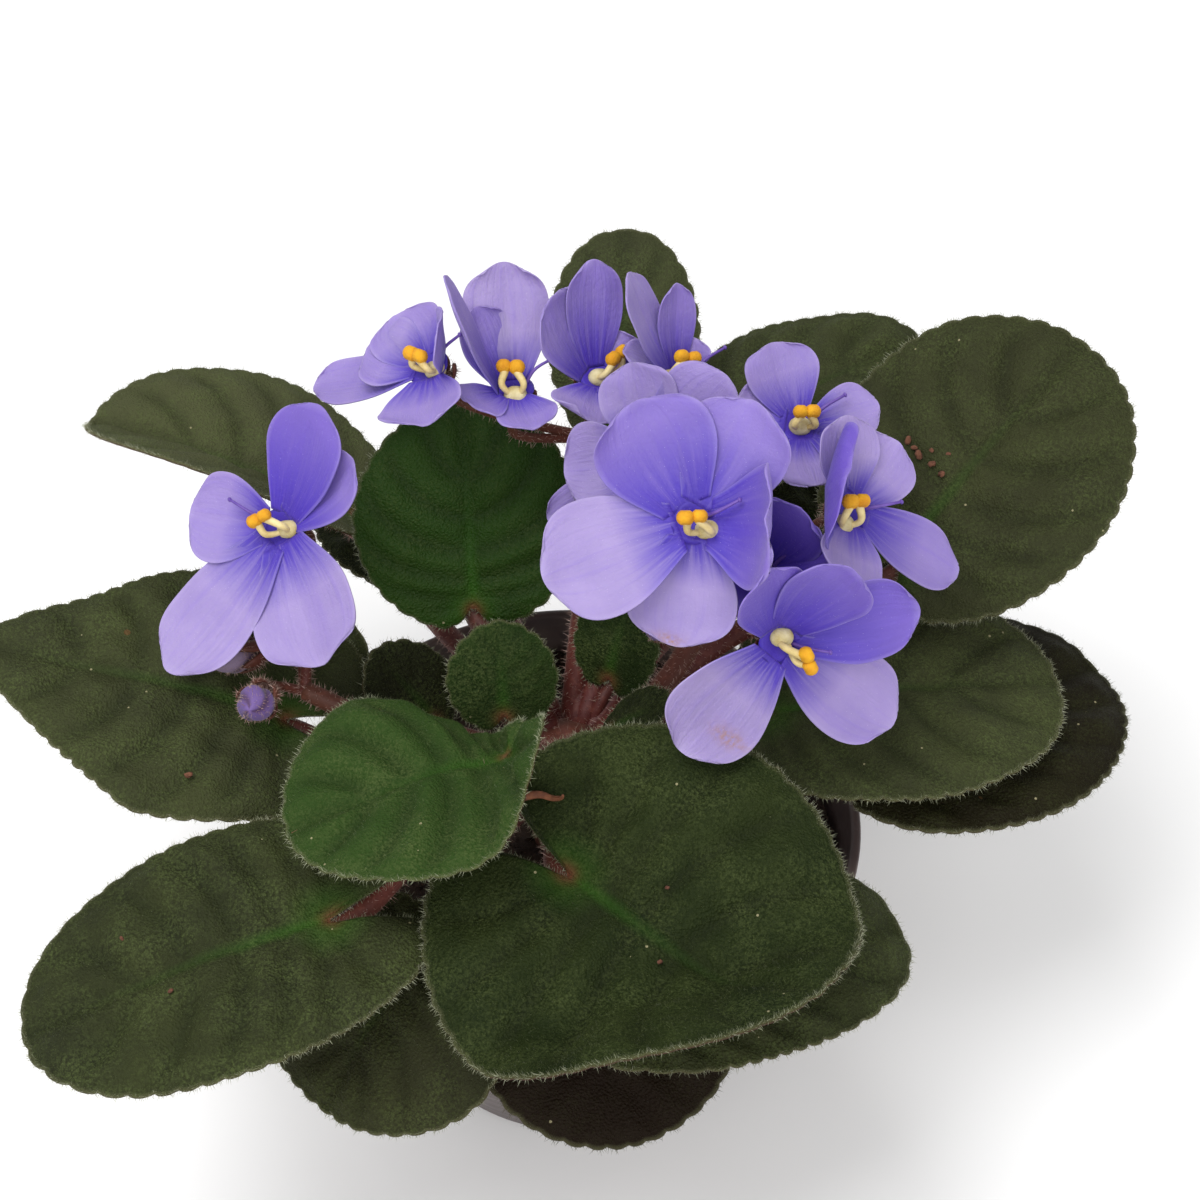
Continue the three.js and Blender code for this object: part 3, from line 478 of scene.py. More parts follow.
# %% [markdown]
# The blade's height over its middle surface is a sum: broad waves, puffs between the veins, a groove
# along each vein and a margin that turns down. What a finish or a hair needs to know of a point is kept
# on the mesh as a mark.
# %% A blade
def blade_shape(leaf, seed):
    generator = np.random.default_rng(seed)
    length = leaf["size"][0]
    rows, columns, x, y, out, uneven = tooth_rings(leaf, generator)
    flat = np.stack([x, y], -1)
    midrib = distance_to(np.array([[-1.0, 0], [0.97 * length, 0]]), flat)
    side = np.min([distance_to(line, flat) for line in vein_lines(leaf)], 0)
    size = min(length / 48, 1)
    from_stalk = np.hypot(x, y)
    fade = 1 - smooth_step(0.8, 1.0, out)
    relief = leaf.get("relief", RELIEF)
    groove = relief * np.maximum(0.8 * near(midrib, 1.5), 0.7 * near(side, 1.4) * fade)
    puff = relief * 1.2 * (1 - near(np.minimum(side, midrib), 3.6)) * fade
    broad = 0.9 * waves(generator, x, y, 24) + 0.5 * waves(generator, x, y, 8) * fade
    wave = (broad - 0.5 * smooth_step(0.86, 1.0, out) * uneven) * size
    thinned = (RIM_THICKNESS - BLADE_THICKNESS) * smooth_step(0.55, 1.0, out)
    half = 0.5 * (BLADE_THICKNESS + thinned) * max(size, 0.7)
    ribs = 0.5 * near(midrib, 1.2) + 0.25 * near(side, 0.8) * fade
    top = blade_points(leaf, x, y, wave + half + (puff - groove) * size)
    bottom = blade_points(leaf, x, y, wave - half + (0.75 * puff - ribs) * size)
    middle = 0.5 * (top + bottom)
    rim, inner = middle[-columns:], middle[-2 * columns : -columns]
    rim += unit(rim - inner) * RIM_BULGE
    count = len(top)

    def both(values, at_rim=0.0):
        return np.concatenate([values, values, np.full(columns, at_rim)])

    sleek = leaf.get("sleek", 0.0)
    heart = np.maximum(0.8 * near(from_stalk, 0.11 * length),
                       near(midrib, 1.3) * np.exp(-from_stalk / (0.36 * length)))
    marks = dict(
        vein=both(np.maximum(0.7 * near(midrib, 1.6), near(side, 1.3) * fade)),
        heart=both(heart), edge=both(out**80, 1.0), joint=both(near(from_stalk, 1.5)), sleek=sleek,
        under=np.repeat([0.0, 1.0, 0.3], [count, count, columns]),
        hairy=np.concatenate([1 - 0.6 * sleek + out**12, np.full(count, 0.2), np.full(columns, 2.4)]),
        **{key: leaf.get(key, 0.0) for key in ("fresh", "dusty", "wine")})
    shape = Shape()
    uv = np.vstack([flat, flat, flat[-columns:]]) * 0.01 + 0.5
    shape.add(np.vstack([top, bottom, rim]), blade_faces(rows, columns, count), uv=uv, **marks)
    return shape


print("faces of a small blade:", len(blade_shape(LEAVES[-4], 0).faces))

# %% [markdown]
# A leaf's stalk (its petiole) is a fleshy tube. It leaves the crown, arches a little, and runs in under
# the foot of the midrib. The same four points as in the solids give its path.
# %% Petiole paths
PETIOLE_RADIUS = 1.8
SMALL_PETIOLE_RADIUS = 1.1
PETIOLE_LOW = COLLAR - 4
PETIOLE_INSET = 4.6
PETIOLE_SAG = 0.12
PETIOLE_STEPS = 30
CROWN_TOP = COLLAR + 4
UNDER_FOOT = -0.04
UNDER_RUN = 0.2
UNDER_BLADE = 1.45  # from the middle of the blade to the top of the stalk


def petiole_path(leaf):
    length = leaf["size"][0]
    az = math.radians(leaf["joint"][0])
    radius = PETIOLE_RADIUS if length > LARGE_BLADE else SMALL_PETIOLE_RADIUS
    turn, origin = leaf_frame(leaf)

    def underside(share):
        point = blade_surface(leaf, np.array([share * length]), np.array([0.0]))[0]
        return (point - [0, 0, UNDER_BLADE + radius]) @ turn.T + origin

    climb = COLLAR + leaf["joint"][2] - PETIOLE_LOW
    root = min(CROWN_TOP - 3, PETIOLE_LOW + 0.28 * climb)
    start = np.array([PETIOLE_INSET * math.cos(az), PETIOLE_INSET * math.sin(az), root])
    foot = underside(leaf.get("foot", UNDER_FOOT))
    middle = (start + foot) / 2
    middle[2] += leaf.get("sag", PETIOLE_SAG) * np.linalg.norm(foot - start)
    if "via" in leaf:
        middle = above(*leaf["via"])
    end = underside(leaf.get("foot", UNDER_FOOT) + UNDER_RUN)
    return smooth_path([start, middle, foot, end], PETIOLE_STEPS), radius


steps = np.diff(petiole_path(LEAVES[0])[0], axis=0)
print("the first leaf's stalk, mm:", round(np.linalg.norm(steps, axis=1).sum()))

# %% [markdown]
# A bloom has five petals of unequal size, joined at the base into a short throat. Each petal is a grid:
# rows run out along it, columns run across. Its width follows a smooth curve, its sides cup up, and its
# margin is wavy.
# %% The blooms
# at: the throat. turn, rise: how far the bloom looks to the right, and up past 45 degrees. petals: the
# clock angle from the top, the length, the width, the lift out of the bloom's plane, and for some a twist
# about the petal's own line and how far it curls. shades: how deep the violet of each petal is, partly its
# own colour and partly painted shade on petals that lie in shadow or face away. anthers: their place in the
# bloom's face and their turn. mound: the place of the pale mound in the throat. style: the place of the
# style's tip. worn: a petal with a brown mark, and where on it the mark is.
BLOOMS = [
    dict(name="left", at=(-46.5, 12.5, 39.5), turn=-25, rise=5,
         shades=(0.75, 0.5, 0.25, 0.08, 0.1), anthers=(-1.4, 1.0, 25), mound=(1.6, 0), style=(-7.5, 4.5),
         petals=[(27, 20, 14.5, 12), (52, 16, 13, 4), (-80, 14, 15, 5), (-145, 27, 15.5, 5),
                 (154, 22, 19, 0)]),
    dict(name="back_a", at=(-22, 27, 61), turn=-33, rise=30,
         shades=(0.3, 0.4, 0.25, 0.3, 0.3), anthers=(0, -0.6, -20), mound=(1.4, -0.5),
         petals=[(-42, 10, 13, 15), (70, 10, 11, 56), (-75, 10, 13, 12), (-97, 20, 9.5, -4),
                 (165, 10, 15, 0)]),
    dict(name="back_b", at=(-8.9, 26.5, 57), turn=0, rise=45,
         shades=(0.5, 0.02, 0.3, 0.4, 0.4), anthers=(-0.3, 0.5, 0), mound=(0.5, -1.5),
         petals=[(-38, 13, 10, 50), (-7, 19, 14, 50), (-92, 24, 8, 66), (-130, 7, 10, 8), (160, 8, 10, -5)]),
    dict(name="back_c", at=(5, 30, 56.5), turn=15, rise=35,
         shades=(0.35, 0.45, 0.3, 0.2, 0.3), anthers=(2.3, 1.2, 40), mound=(0, 0),
         petals=[(-52, 15, 15, 45), (-12, 18, 10, 52), (60, 7, 9, 40), (-165, 8, 15, 0), (125, 7, 11, 5)]),
    dict(name="back_d", at=(18.4, 29, 57.5), turn=15, rise=42,
         shades=(0.25, 0.45, 0.3, 0.2, 0.2), anthers=(0, 0, 10), mound=(-2, -0.5),
         petals=[(-60, 19, 10, 50), (-15, 14, 7, 58), (20, 5, 7, 50), (-85, 9, 9, 20), (-150, 9, 12, 0)]),
    dict(name="mid", at=(13, 11.5, 55.5), turn=-18, rise=-5,
         shades=(0.2, 0.25, 0.2, 0.3, 0.3), anthers=(0, 0, 0), mound=(0, 0),
         petals=[(-8, 13, 13, 0), (48, 16, 15, 0), (-95, 12, 14, -5), (-117, 19, 7, -18), (180, 12, 13, 0)]),
    dict(name="centre", at=(19.2, -6, 58.5), turn=-5, rise=3,
         shades=(0.6, 0.5, 0.05, 0.1, 0.6), anthers=(0, 0, 0), mound=(2, -1.2), worn=(3, 0.96, 0.2),
         petals=[(-27, 18, 19, 10), (30, 18, 17, 6), (-111, 22, 18.5, -2), (-171, 17, 17, -20),
                 (98, 18.5, 19, 8, 0, 97)]),
    dict(name="right_back", at=(37, 21, 54), turn=12, rise=25,
         shades=(0.3, 0.25, 0.2, 0.2, 0.2), anthers=(0, 0, 0), mound=(0, 0),
         petals=[(-18, 12, 13, 15), (78, 11, 10, 10), (-75, 9, 11, 0), (175, 9, 12, 0), (115, 9, 11, 0)]),
    dict(name="right_high", at=(44, 4, 51.5), turn=32, rise=12,
         shades=(0.12, 0.15, 0.9, 0.35, 0.2), anthers=(-2, 0, 0), mound=(-2, -2.2), style=(7.3, 1),
         petals=[(-5, 12.5, 12, 12), (40, 12, 13, 5), (-70, 14, 21, 17, 0, 85), (115, 21, 11, -10),
                 (-160, 12, 12, 10)]),
    # Its petals are made near the deepest violet: painted shade, for a bloom in the shadow of the two
    # largest.
    dict(name="dark", at=(30.4, 0, 42.2), turn=0, rise=10,
         shades=(0.95, 0.9, 0.9, 1.0, 0.95), anthers=(0, 0, 80), mound=(-2.4, 0.4),
         petals=[(-22, 14, 13, 50), (38, 14, 12, 54), (88, 12, 12, 42), (180, 12, 13, 54),
                 (-130, 13, 11, 56)]),
    dict(name="right_low", at=(32, -18, 45), turn=22, rise=-18,
         shades=(0.8, 0.75, 0.8, 0.15, 0.0), anthers=(3.3, -1.9, -55), mound=(0.3, 0.8), style=(7, -0.6),
         worn=(4, 0.7, -0.55),
         petals=[(-30, 15, 12, 25), (22, 16, 14, 30), (73, 20, 13.5, 5), (122, 23, 14.5, -5),
                 (-145, 20, 17, -12)]),
]
FACING = 45
print(len(BLOOMS), "blooms")


def bloom_frame(bloom):
    """The bloom's turn and place: z points out of its throat, y to its top."""
    turn = Matrix.Rotation(math.radians(90 - FACING), 3, "X")
    turn = turn @ Matrix.Rotation(math.radians(bloom["turn"]), 3, "Y")
    turn = turn @ Matrix.Rotation(-math.radians(bloom["rise"]), 3, "X")
    return np.array(turn), above(*bloom["at"])


# %% [markdown]
# A petal is bent to an arc along its length, which starts at its lift and turns by its curl. On that arc
# it is cupped and creased, rippled toward its tip, and some petals are twisted.
# %% The surface of a petal
PETAL_ROOT = 2.4
PETAL_CURL = 12
PETAL_CUP = 0.14
PETAL_CREASE = 0.25
PETAL_WIDEST = 0.62  # the share of the way along a petal where it is widest
PETAL_END = 1.03
PETAL_ROOT_WIDTH = 0.42
TIP_ROUNDNESS = 2.3


def petal_width(s):
    """The half width of a petal as a share of its most: it swells from the root and rounds off at the tip."""
    toward = np.sin(np.minimum(s / PETAL_WIDEST, 1) * math.pi / 2) ** 1.1
    swell = PETAL_ROOT_WIDTH + (1 - PETAL_ROOT_WIDTH) * toward
    past = np.clip((s - PETAL_WIDEST) / (PETAL_END - PETAL_WIDEST), 0, 1)
    return swell * (1 - past**TIP_ROUNDNESS) ** (1 / TIP_ROUNDNESS)


def petal_surface(petal, s, t, ripple):
    """Points of a petal's middle surface: s runs out along it from 0 to 1, t across it from -1 to 1."""
    clock, length, width, lift, twist, curl = (*petal, *(0, PETAL_CURL)[len(petal) - 4:])
    start, curl = math.radians(lift), math.radians(curl)
    slope = start + curl * s
    out = PETAL_ROOT + length / curl * (np.sin(slope) - math.sin(start))
    up = length / curl * (math.cos(start) - np.cos(slope))
    half = width / 2 * petal_width(s)
    cup = PETAL_CUP * half * t * t - PETAL_CREASE * near(t, 0.16) * s * (1 - s) * 4 + ripple
    twisted = math.radians(twist) * np.minimum(s / 0.3, 1)
    cup = cup + half * t * np.sin(twisted)
    behind = length * (0.035 * s * t * t + 0.05 * s**8 * t * t)
    across = half * t * np.cos(twisted)
    out = out - behind * np.cos(slope) - cup * np.sin(slope)
    up = up - behind * np.sin(slope) + cup * np.cos(slope)
    turn = math.radians(clock)
    return np.stack([across * math.cos(turn) + out * math.sin(turn),
                     -across * math.sin(turn) + out * math.cos(turn), up], -1)


print("a petal's root is this share of its width:", petal_width(0.0))

# %% [markdown]
# A petal's mesh is a grid on that surface, closer at the tip and the sides, with the same grid again
# underneath. It thins toward its margin.
# %% A petal
PETAL_THICKNESS = 0.42
PETAL_ROWS, PETAL_COLUMNS = 26, 19


def petal_lump(petal, generator):
    """Points, faces and grid shares of one closed petal."""
    rows = np.sin(np.linspace(0, math.pi / 2, PETAL_ROWS)) ** 1.2
    columns = np.sin(np.linspace(-1, 1, PETAL_COLUMNS) * math.pi / 2)
    s, t = [grid.ravel() for grid in np.meshgrid(rows, columns, indexing="ij")]
    frill = np.abs(t) ** 3 * s + smooth_step(0.75, 1, s) * 0.6
    phase = generator.uniform(0, 6.3, 3)
    waved = np.sin(5.5 * s * np.sign(t) + phase[0]) * 0.5 + np.sin(13 * s + 4 * t + phase[1]) * 0.25
    ripple = frill * waved * 0.07 * petal[2] + 0.25 * s * np.sin(3 * t + phase[2])
    step = 1e-3
    here = petal_surface(petal, s, t, ripple)
    ahead = petal_surface(petal, s + step, t, ripple) - here
    aside = petal_surface(petal, s, t + step, ripple) - here
    normal = unit(np.cross(aside, ahead))
    thin = PETAL_THICKNESS * (1 - 0.45 * np.maximum(np.abs(t) ** 6, s**6))[:, None]
    points = np.vstack([here + normal * thin / 2, here - normal * thin / 2])
    return points, sheet_faces(PETAL_ROWS, PETAL_COLUMNS), np.tile(s, 2), np.tile(t, 2)


print("faces of a petal:", len(petal_lump(BLOOMS[0]["petals"][0], np.random.default_rng(0))[1]))

# %% [markdown]
# The petals join in a short throat, a turned cup round a pale mound. A thin style with a knob at its end
# leans out of it. All of it is made with the bloom looking up, then turned to face its own way.
# %% A corolla
THROAT = [(0, -2.0), (0.5, -1.9), (1.9, -1.5), (3.0, -0.5), (3.5, 0.35), (2.6, 0.3), (1.4, -0.25),
          (0.4, -0.6), (0, -0.65)]
THROAT_SIDES = 24
MOUND = (1.9, 1.6, 1.5)
STYLE_TIP = (7, 3.4)
STYLE_RADII = (0.34, 0.22)
KNOB_RADII = (0.2, 0.38, 0.42, 0.36, 0.18)


def egg(radii, centre, seam, rows=12, columns=18):
    """Points and faces of an egg with a seam along one side."""
    tilt, turn = np.meshgrid(np.linspace(0, math.pi, rows + 2)[1:-1],
                             np.linspace(0, 2 * math.pi, columns, endpoint=False), indexing="ij")
    tilt, turn = tilt.ravel(), turn.ravel()
    pressed = 1 - seam * near(np.cos(turn), 0.28) * np.sin(tilt) ** 2
    points = np.stack([np.sin(tilt) * np.cos(turn), np.sin(tilt) * np.sin(turn), np.cos(tilt)], -1)
    points = points * pressed[:, None] * radii + centre
    poles = np.array([[0, 0, 1.0], [0, 0, -1.0]]) * radii + centre
    return np.vstack([points, poles]), [face[::-1] for face in turned_faces(rows, columns)]


def face_its_way(shape, bloom):
    axes, origin = bloom_frame(bloom)
    shape.points = [points @ axes.T + origin for points in shape.points]
    return shape


def corolla_shape(bloom, seed):
    """The five petals, the throat that they join in, and the style that leans out of it."""
    generator = np.random.default_rng(100 + seed)
    shape = Shape()
    for number, petal in enumerate(bloom["petals"]):
        points, faces, s, t = petal_lump(petal, generator)
        points[:, 2] += 0.08 * number
        worn_petal, worn_s, worn_t = bloom.get("worn", (-1, 0, 0))
        worn = np.exp(-(((s - worn_s) / 0.06) ** 2) - ((t - worn_t) / 0.35) ** 2) * (number == worn_petal)
        shape.add(points, faces, uv=np.stack([t * 0.5 + 0.5 + 2 * number, s], -1), along=s, across=t,
                  shade=bloom["shades"][number], number=seed * 5 + number, worn=worn)
    shape.add(turned_points(THROAT, THROAT_SIDES), turned_faces(len(THROAT) - 2, THROAT_SIDES),
              shade=max(bloom["shades"]), along=0.02)
    points, faces = egg(MOUND, [*bloom["mound"], 0.2], 0.1)
    shape.add(points, faces, slot=2)
    lean = generator.uniform(-0.5, 0.5)
    x, y = bloom.get("style", STYLE_TIP)
    path = smooth_path([(0.25 * x, 0.25 * y, -0.2), (0.5 * x, 0.5 * y + lean, 2.4), (x, y + lean, 3.7)], 12)
    points, faces, along = tube(path, np.linspace(*STYLE_RADII, 12), 8)
    shape.add(points, faces, slot=1, along=along)
    knob = path[-1] + np.outer(np.linspace(-0.3, 0.3, len(KNOB_RADII)), [0.8, 0.3, 0.2])
    points, faces, along = tube(knob, KNOB_RADII, 8)
    shape.add(points, faces, slot=1, along=1.0)
    return face_its_way(shape, bloom)


print("faces of a corolla:", len(corolla_shape(BLOOMS[0], 0).faces))

# %% [markdown]
# In the middle of each bloom two fat yellow anthers are joined at their tips and stand on pale filaments.
# An anther is an egg with a seam pressed into its side, where it opens to let out its pollen.
# %% Anthers
ANTHER_HEIGHT = 4.2
ANTHER_SIZE = (1.3, 1.2, 1.25)
ANTHER_APART = 1.05
FILAMENT_RADII = (0.42, 0.7)


def anther_shape(bloom, seed):
    """Two anthers side by side on bowed filaments, which rise from the throat's mound."""
    generator = np.random.default_rng(200 + seed)
    shape = Shape()
    across, up, turn = bloom["anthers"]
    spin = np.array(Matrix.Rotation(math.radians(turn), 3, "Z"))
    middle = np.array([across, up + 0.3, ANTHER_HEIGHT])
    for side in (-1, 1):
        radii = np.array(ANTHER_SIZE) * generator.uniform(0.9, 1.1)
        aside, over = generator.uniform(-0.25, 0.25), generator.uniform(-0.2, 0.2)
        points, faces = egg(radii, [ANTHER_APART * side, aside, over], 0.2)
        shape.add(points @ spin.T + middle, faces, pollen=1.0)
        foot = np.array([*bloom["mound"], 0.6]) + [0.7 * side, -0.5, 0]
        head = middle + spin @ np.array([0.8 * side, -0.3, -0.4])
        bowed = (foot + head) / 2 + spin @ np.array([1.0 * side, -0.8, 0]) + [0, 0, 0.3]
        points, faces, _ = tube(smooth_path([foot, bowed, head], 14), np.linspace(*FILAMENT_RADII, 14), 10)
        shape.add(points, faces, slot=1)
    return face_its_way(shape, bloom)


print("faces of a pair of anthers:", len(anther_shape(BLOOMS[0], 0).faces))


# %% [markdown]
# The sprays are stalks that fork. Each bloom's own stalk ends in a calyx of five pointed hairy sepals,
# which curve back from the bloom or close round a bud.
# %% The sprays
# stem: the points of the main stalk, from the crown to its fork. blooms: a point that a bloom's stalk is
# led past.
SPRAYS = [
    dict(name="left", stem=[(-2, -1, -2), (-12, -7, 8), (-28, -8, 13.5), (-43, -3, 18)],
         blooms=dict(left=None),
         buds=[dict(name="bud_left_a", at=(-50, -7, 20), look=(-0.1, -0.8, 0.5), width=6.5, length=8),
               dict(name="bud_left_b", at=(-53, 2, 21), look=(-0.8, -0.5, 0.1), width=5, length=8,
                    grey=1.0)]),
    dict(name="back", stem=[(0, 4, -2), (2, 17, 14), (5, 28, 30), (5, 33, 41)],
         blooms=dict(back_a=(-7, 29, 48), back_b=None, back_c=None, back_d=None), buds=[]),
    dict(name="right", stem=[(3, -2, -2), (11, -2, 10), (19, 0, 24), (23, 4, 33)],
         blooms=dict.fromkeys(("mid", "centre", "right_back", "right_high", "dark", "right_low")),
         buds=[dict(name="bud_right", at=(15, -6, 36), look=(-0.5, -0.7, 0.4), width=4.4, length=6.5)]),
]
CALYX_TOP = -2.3
CALYX_FOOT = -5.6
SEPALS = 5
SEPAL_ROWS, SEPAL_COLUMNS = 12, 7
SEPAL_SKIN = (0, 0.17, 0.17)
CUP_RADII = (0.95, 1.2, 1.35, 1.0)
print(len(SPRAYS), "sprays")


def bud_frame(bud):
    turn = Vector((0, 0, 1)).rotation_difference(Vector(bud["look"]).normalized())
    return np.array(turn.to_matrix()), above(*bud["at"])


def sepal_lump(clock, reach, hug):
    """One pointed sepal: out from the calyx's foot, then along the bloom's back or up round a bud."""
    rows, columns = np.linspace(0, 1, SEPAL_ROWS), np.linspace(-1, 1, SEPAL_COLUMNS)
    s, t = [grid.ravel() for grid in np.meshgrid(rows, columns, indexing="ij")]
    out = 0.7 + (reach - 0.7) * np.sin(s * math.pi * (0.5 if hug < 0.5 else 0.62)) ** 0.9
    height = CALYX_FOOT + 1.2 + (3.4 + 2.6 * hug) * s**1.1
    half = 1.15 * np.sin(np.clip(s * 0.9 + 0.1, 0, 1) * math.pi) ** 0.7 + 0.05
    bowl = 0.35 * t * t * half
    out = out - bowl * hug
    middle = np.stack([half * t, out, height + bowl * (1 - hug)], -1)
    skin = np.array(SEPAL_SKIN)
    points = np.vstack([middle + skin * [0, -1, 1], middle + skin * [0, 1, -1]])
    turn = math.radians(clock)
    spin = np.array([[math.cos(turn), math.sin(turn), 0], [-math.sin(turn), math.cos(turn), 0], [0, 0, 1]])
    return points @ spin.T, sheet_faces(SEPAL_ROWS, SEPAL_COLUMNS), np.tile(s, 2)


def add_calyx(shape, axes, origin, reach, hug):
    for number in range(SEPALS):
        points, faces, s = sepal_lump(360 / SEPALS * number, reach, hug)
        shape.add(points @ axes.T + origin, faces, ripe=1 - 0.3 * s, hairy=1.0)
    cup = [(0, 0, z) for z in (CALYX_FOOT - 0.2, CALYX_FOOT + 1, CALYX_FOOT + 2.2, CALYX_TOP - 0.1)]
    points, faces, _ = tube(cup, CUP_RADII, 14)
    shape.add(points @ axes.T + origin, faces, ripe=0.6, hairy=1.0)


# %% [markdown]
# A spray's stem narrows on its way from the crown to its fork, and from there a thinner stalk (a pedicel)
# runs to each calyx and swells a little at both ends. A bud is an egg with seams where its petals are
# rolled.
# %% Stems, pedicels and buds
STALK_RADIUS = 1.9
PEDICEL_RADIUS = 0.8
BUD_ROWS, BUD_COLUMNS = 26, 40
SEAM_DEPTH = 0.16


def add_pedicel(shape, fork, axes, origin, via):
    end = np.array([0, 0, CALYX_FOOT + 0.4]) @ axes.T + origin
    behind = np.array([0, 0, CALYX_FOOT - 3.4]) @ axes.T + origin
    path = smooth_path([fork, *([above(*via)] if via else []), behind, end], 26)
    points, faces, along = tube(path, PEDICEL_RADIUS * (1 + 0.25 * np.abs(np.linspace(-1, 1, 26)) ** 6), 12)
    shape.add(points, faces, ripe=0.9 - 0.4 * along, hairy=0.8)


def spray_shape(spray):
    shape = Shape()
    stem = [above(*point) for point in spray["stem"]]
    points, faces, along = tube(smooth_path(stem, 40), np.linspace(1.1, 0.85, 40) * STALK_RADIUS, 18)
    shape.add(points, faces, ripe=1 - 0.3 * along, hairy=0.6)
    by_name = {bloom["name"]: bloom for bloom in BLOOMS}
    for name, via in spray["blooms"].items():
        axes, origin = bloom_frame(by_name[name])
        add_calyx(shape, axes, origin, 3.8, 0.0)
        add_pedicel(shape, stem[-1], axes, origin, via)
    for bud in spray["buds"]:
        axes, origin = bud_frame(bud)
        add_calyx(shape, axes, origin, 0.5 * bud["width"] + 0.25, 1.0)
        add_pedicel(shape, stem[-1], axes, origin, None)
    return shape


def bud_shape(bud):
    """A closed bud: an egg whose rolled petals show as seams that wind up to its tip."""
    rows = np.linspace(0, 1, BUD_ROWS + 2)[1:-1]
    columns = np.linspace(0, 2 * math.pi, BUD_COLUMNS, endpoint=False)
    share, turn = [grid.ravel() for grid in np.meshgrid(rows, columns, indexing="ij")]
    girth = np.sin(share * math.pi) ** 0.75 * (1 - 0.12 * share)
    seam = 1 - SEAM_DEPTH * np.abs(np.cos(1.5 * turn + 4 * share)) ** 6
    radius = bud["width"] / 2 * girth * seam
    height = CALYX_TOP + 0.35 + bud["length"] * share
    points = np.stack([radius * np.cos(turn), radius * np.sin(turn), height], -1)
    poles = np.array([[0, 0, CALYX_TOP + 0.3], [0, 0, CALYX_TOP + 0.35 + bud["length"]]])
    axes, origin = bud_frame(bud)
    shape = Shape()
    shape.add(np.vstack([points, poles]) @ axes.T + origin, turned_faces(BUD_ROWS, BUD_COLUMNS),
              along=np.append(share, [0, 1]), seam=np.append(1 - seam, [SEAM_DEPTH, 0]) * 6, hairy=1.0,
              grey=bud.get("grey", 0.0))
    return shape


print("faces of a bud:", len(bud_shape(SPRAYS[0]["buds"][0]).faces))

# %% [markdown]
# A finish is a small network of nodes. This helper adds one node, sets its values and links its inputs in
# a line, so that the materials below read like a list of steps.
# %% Helpers for nodes
def give(tree, node, **inputs):
    """Sets inputs by name, or by number as i0, i1 and so on: a socket is linked, a value is stored."""
    for key, value in inputs.items():
        by_number = key[0] == "i" and key[1:].isdigit()
        socket = node.inputs[int(key[1:]) if by_number else key.replace("_", " ")]
        if isinstance(value, bpy.types.NodeSocket):
            tree.links.new(value, socket)
        else:
            socket.default_value = value


def add_node(tree, kind, settings=None, **inputs):
    made = tree.nodes.new(kind)
    for key, value in (settings or {}).items():
        setattr(made, key, value)
    give(tree, made, **inputs)
    return made


def linear(red, green, blue):
    """A colour given as seen on a screen, from 0 to 255, as light."""
    seen = [channel / 255 for channel in (red, green, blue)]
    return (*[c / 12.92 if c <= 0.04045 else ((c + 0.055) / 1.055) ** 2.4 for c in seen], 1.0)


def mark(tree, name):
    return add_node(tree, "ShaderNodeAttribute", {"attribute_name": name}).outputs["Fac"]


def mix(tree, factor, a, b):
    settings = {"data_type": "RGBA", "clamp_factor": True}
    return add_node(tree, "ShaderNodeMix", settings, i0=factor, i6=a, i7=b).outputs[2]


def maths(tree, operation, a, b=0.0, clamp=False):
    settings = {"operation": operation, "use_clamp": clamp}
    return add_node(tree, "ShaderNodeMath", settings, i0=a, i1=b).outputs[0]


def times(tree, a, b, clamp=False):
    return maths(tree, "MULTIPLY", a, b, clamp)


def plus(tree, a, b):
    return maths(tree, "ADD", a, b)


def layer(tree, colour, tint, mask, share=1.0):
    """Lays a tint over a colour where a mask is 1, at a share of its strength."""
    return mix(tree, times(tree, mask, share), colour, linear(*tint))


def ramp(tree, value, low, high, to_low=0.0, to_high=1.0):
    ends = dict(i1=low, i2=high, i3=to_low, i4=to_high)
    return add_node(tree, "ShaderNodeMapRange", {"clamp": True}, i0=value, **ends).outputs[0]


def noise(tree, where, scale, detail=3.0, rough=0.55):
    settings = dict(Scale=scale, Detail=detail, Roughness=rough)
    return add_node(tree, "ShaderNodeTexNoise", None, Vector=where, **settings).outputs["Fac"]


def start_material(name):
    """A material with its Principled shader, its tree and the Object coordinates."""
    material = bpy.data.materials.new(name)
    material.use_nodes = True
    tree = material.node_tree
    shader = tree.nodes["Principled BSDF"]
    where = add_node(tree, "ShaderNodeTexCoord").outputs["Object"]
    return material, tree, shader, where


print("a leaf green as light:", [round(part, 3) for part in linear(34, 62, 14)])

# %% [markdown]
# Two effects turn up on several finishes, so each is a node group that is built once: scattered specks,
# for the dust on leaves and pot and the sparkle on petals, and a soft mottle that keeps any colour from
# being flat.
# %% Shared node groups
def new_group(name, inputs, outputs):
    tree = bpy.data.node_groups.new(name, "ShaderNodeTree")
    for label, kind, value in inputs:
        socket = tree.interface.new_socket(label, in_out="INPUT", socket_type=kind)
        if value is not None:
            socket.default_value = value
    for label in outputs:
        tree.interface.new_socket(label, in_out="OUTPUT", socket_type="NodeSocketFloat")
    return tree, tree.nodes.new("NodeGroupInput").outputs, tree.nodes.new("NodeGroupOutput").inputs


def build_specks():
    """Small round specks at random: 1 inside a speck, 0 outside."""
    tree, given, made = new_group(
        "specks", [("Vector", "NodeSocketVector", None), ("Scale", "NodeSocketFloat", 400.0),
                   ("Size", "NodeSocketFloat", 0.2), ("Share", "NodeSocketFloat", 0.2)], ["Mask"])
    cells = add_node(tree, "ShaderNodeTexVoronoi", None, Vector=given["Vector"], Scale=given["Scale"])
    inside = maths(tree, "LESS_THAN", cells.outputs["Distance"], given["Size"])
    lucky = add_node(tree, "ShaderNodeSeparateColor", None, Color=cells.outputs["Color"]).outputs[0]
    chosen = maths(tree, "LESS_THAN", lucky, given["Share"])
    tree.links.new(times(tree, inside, chosen), made["Mask"])
    return tree


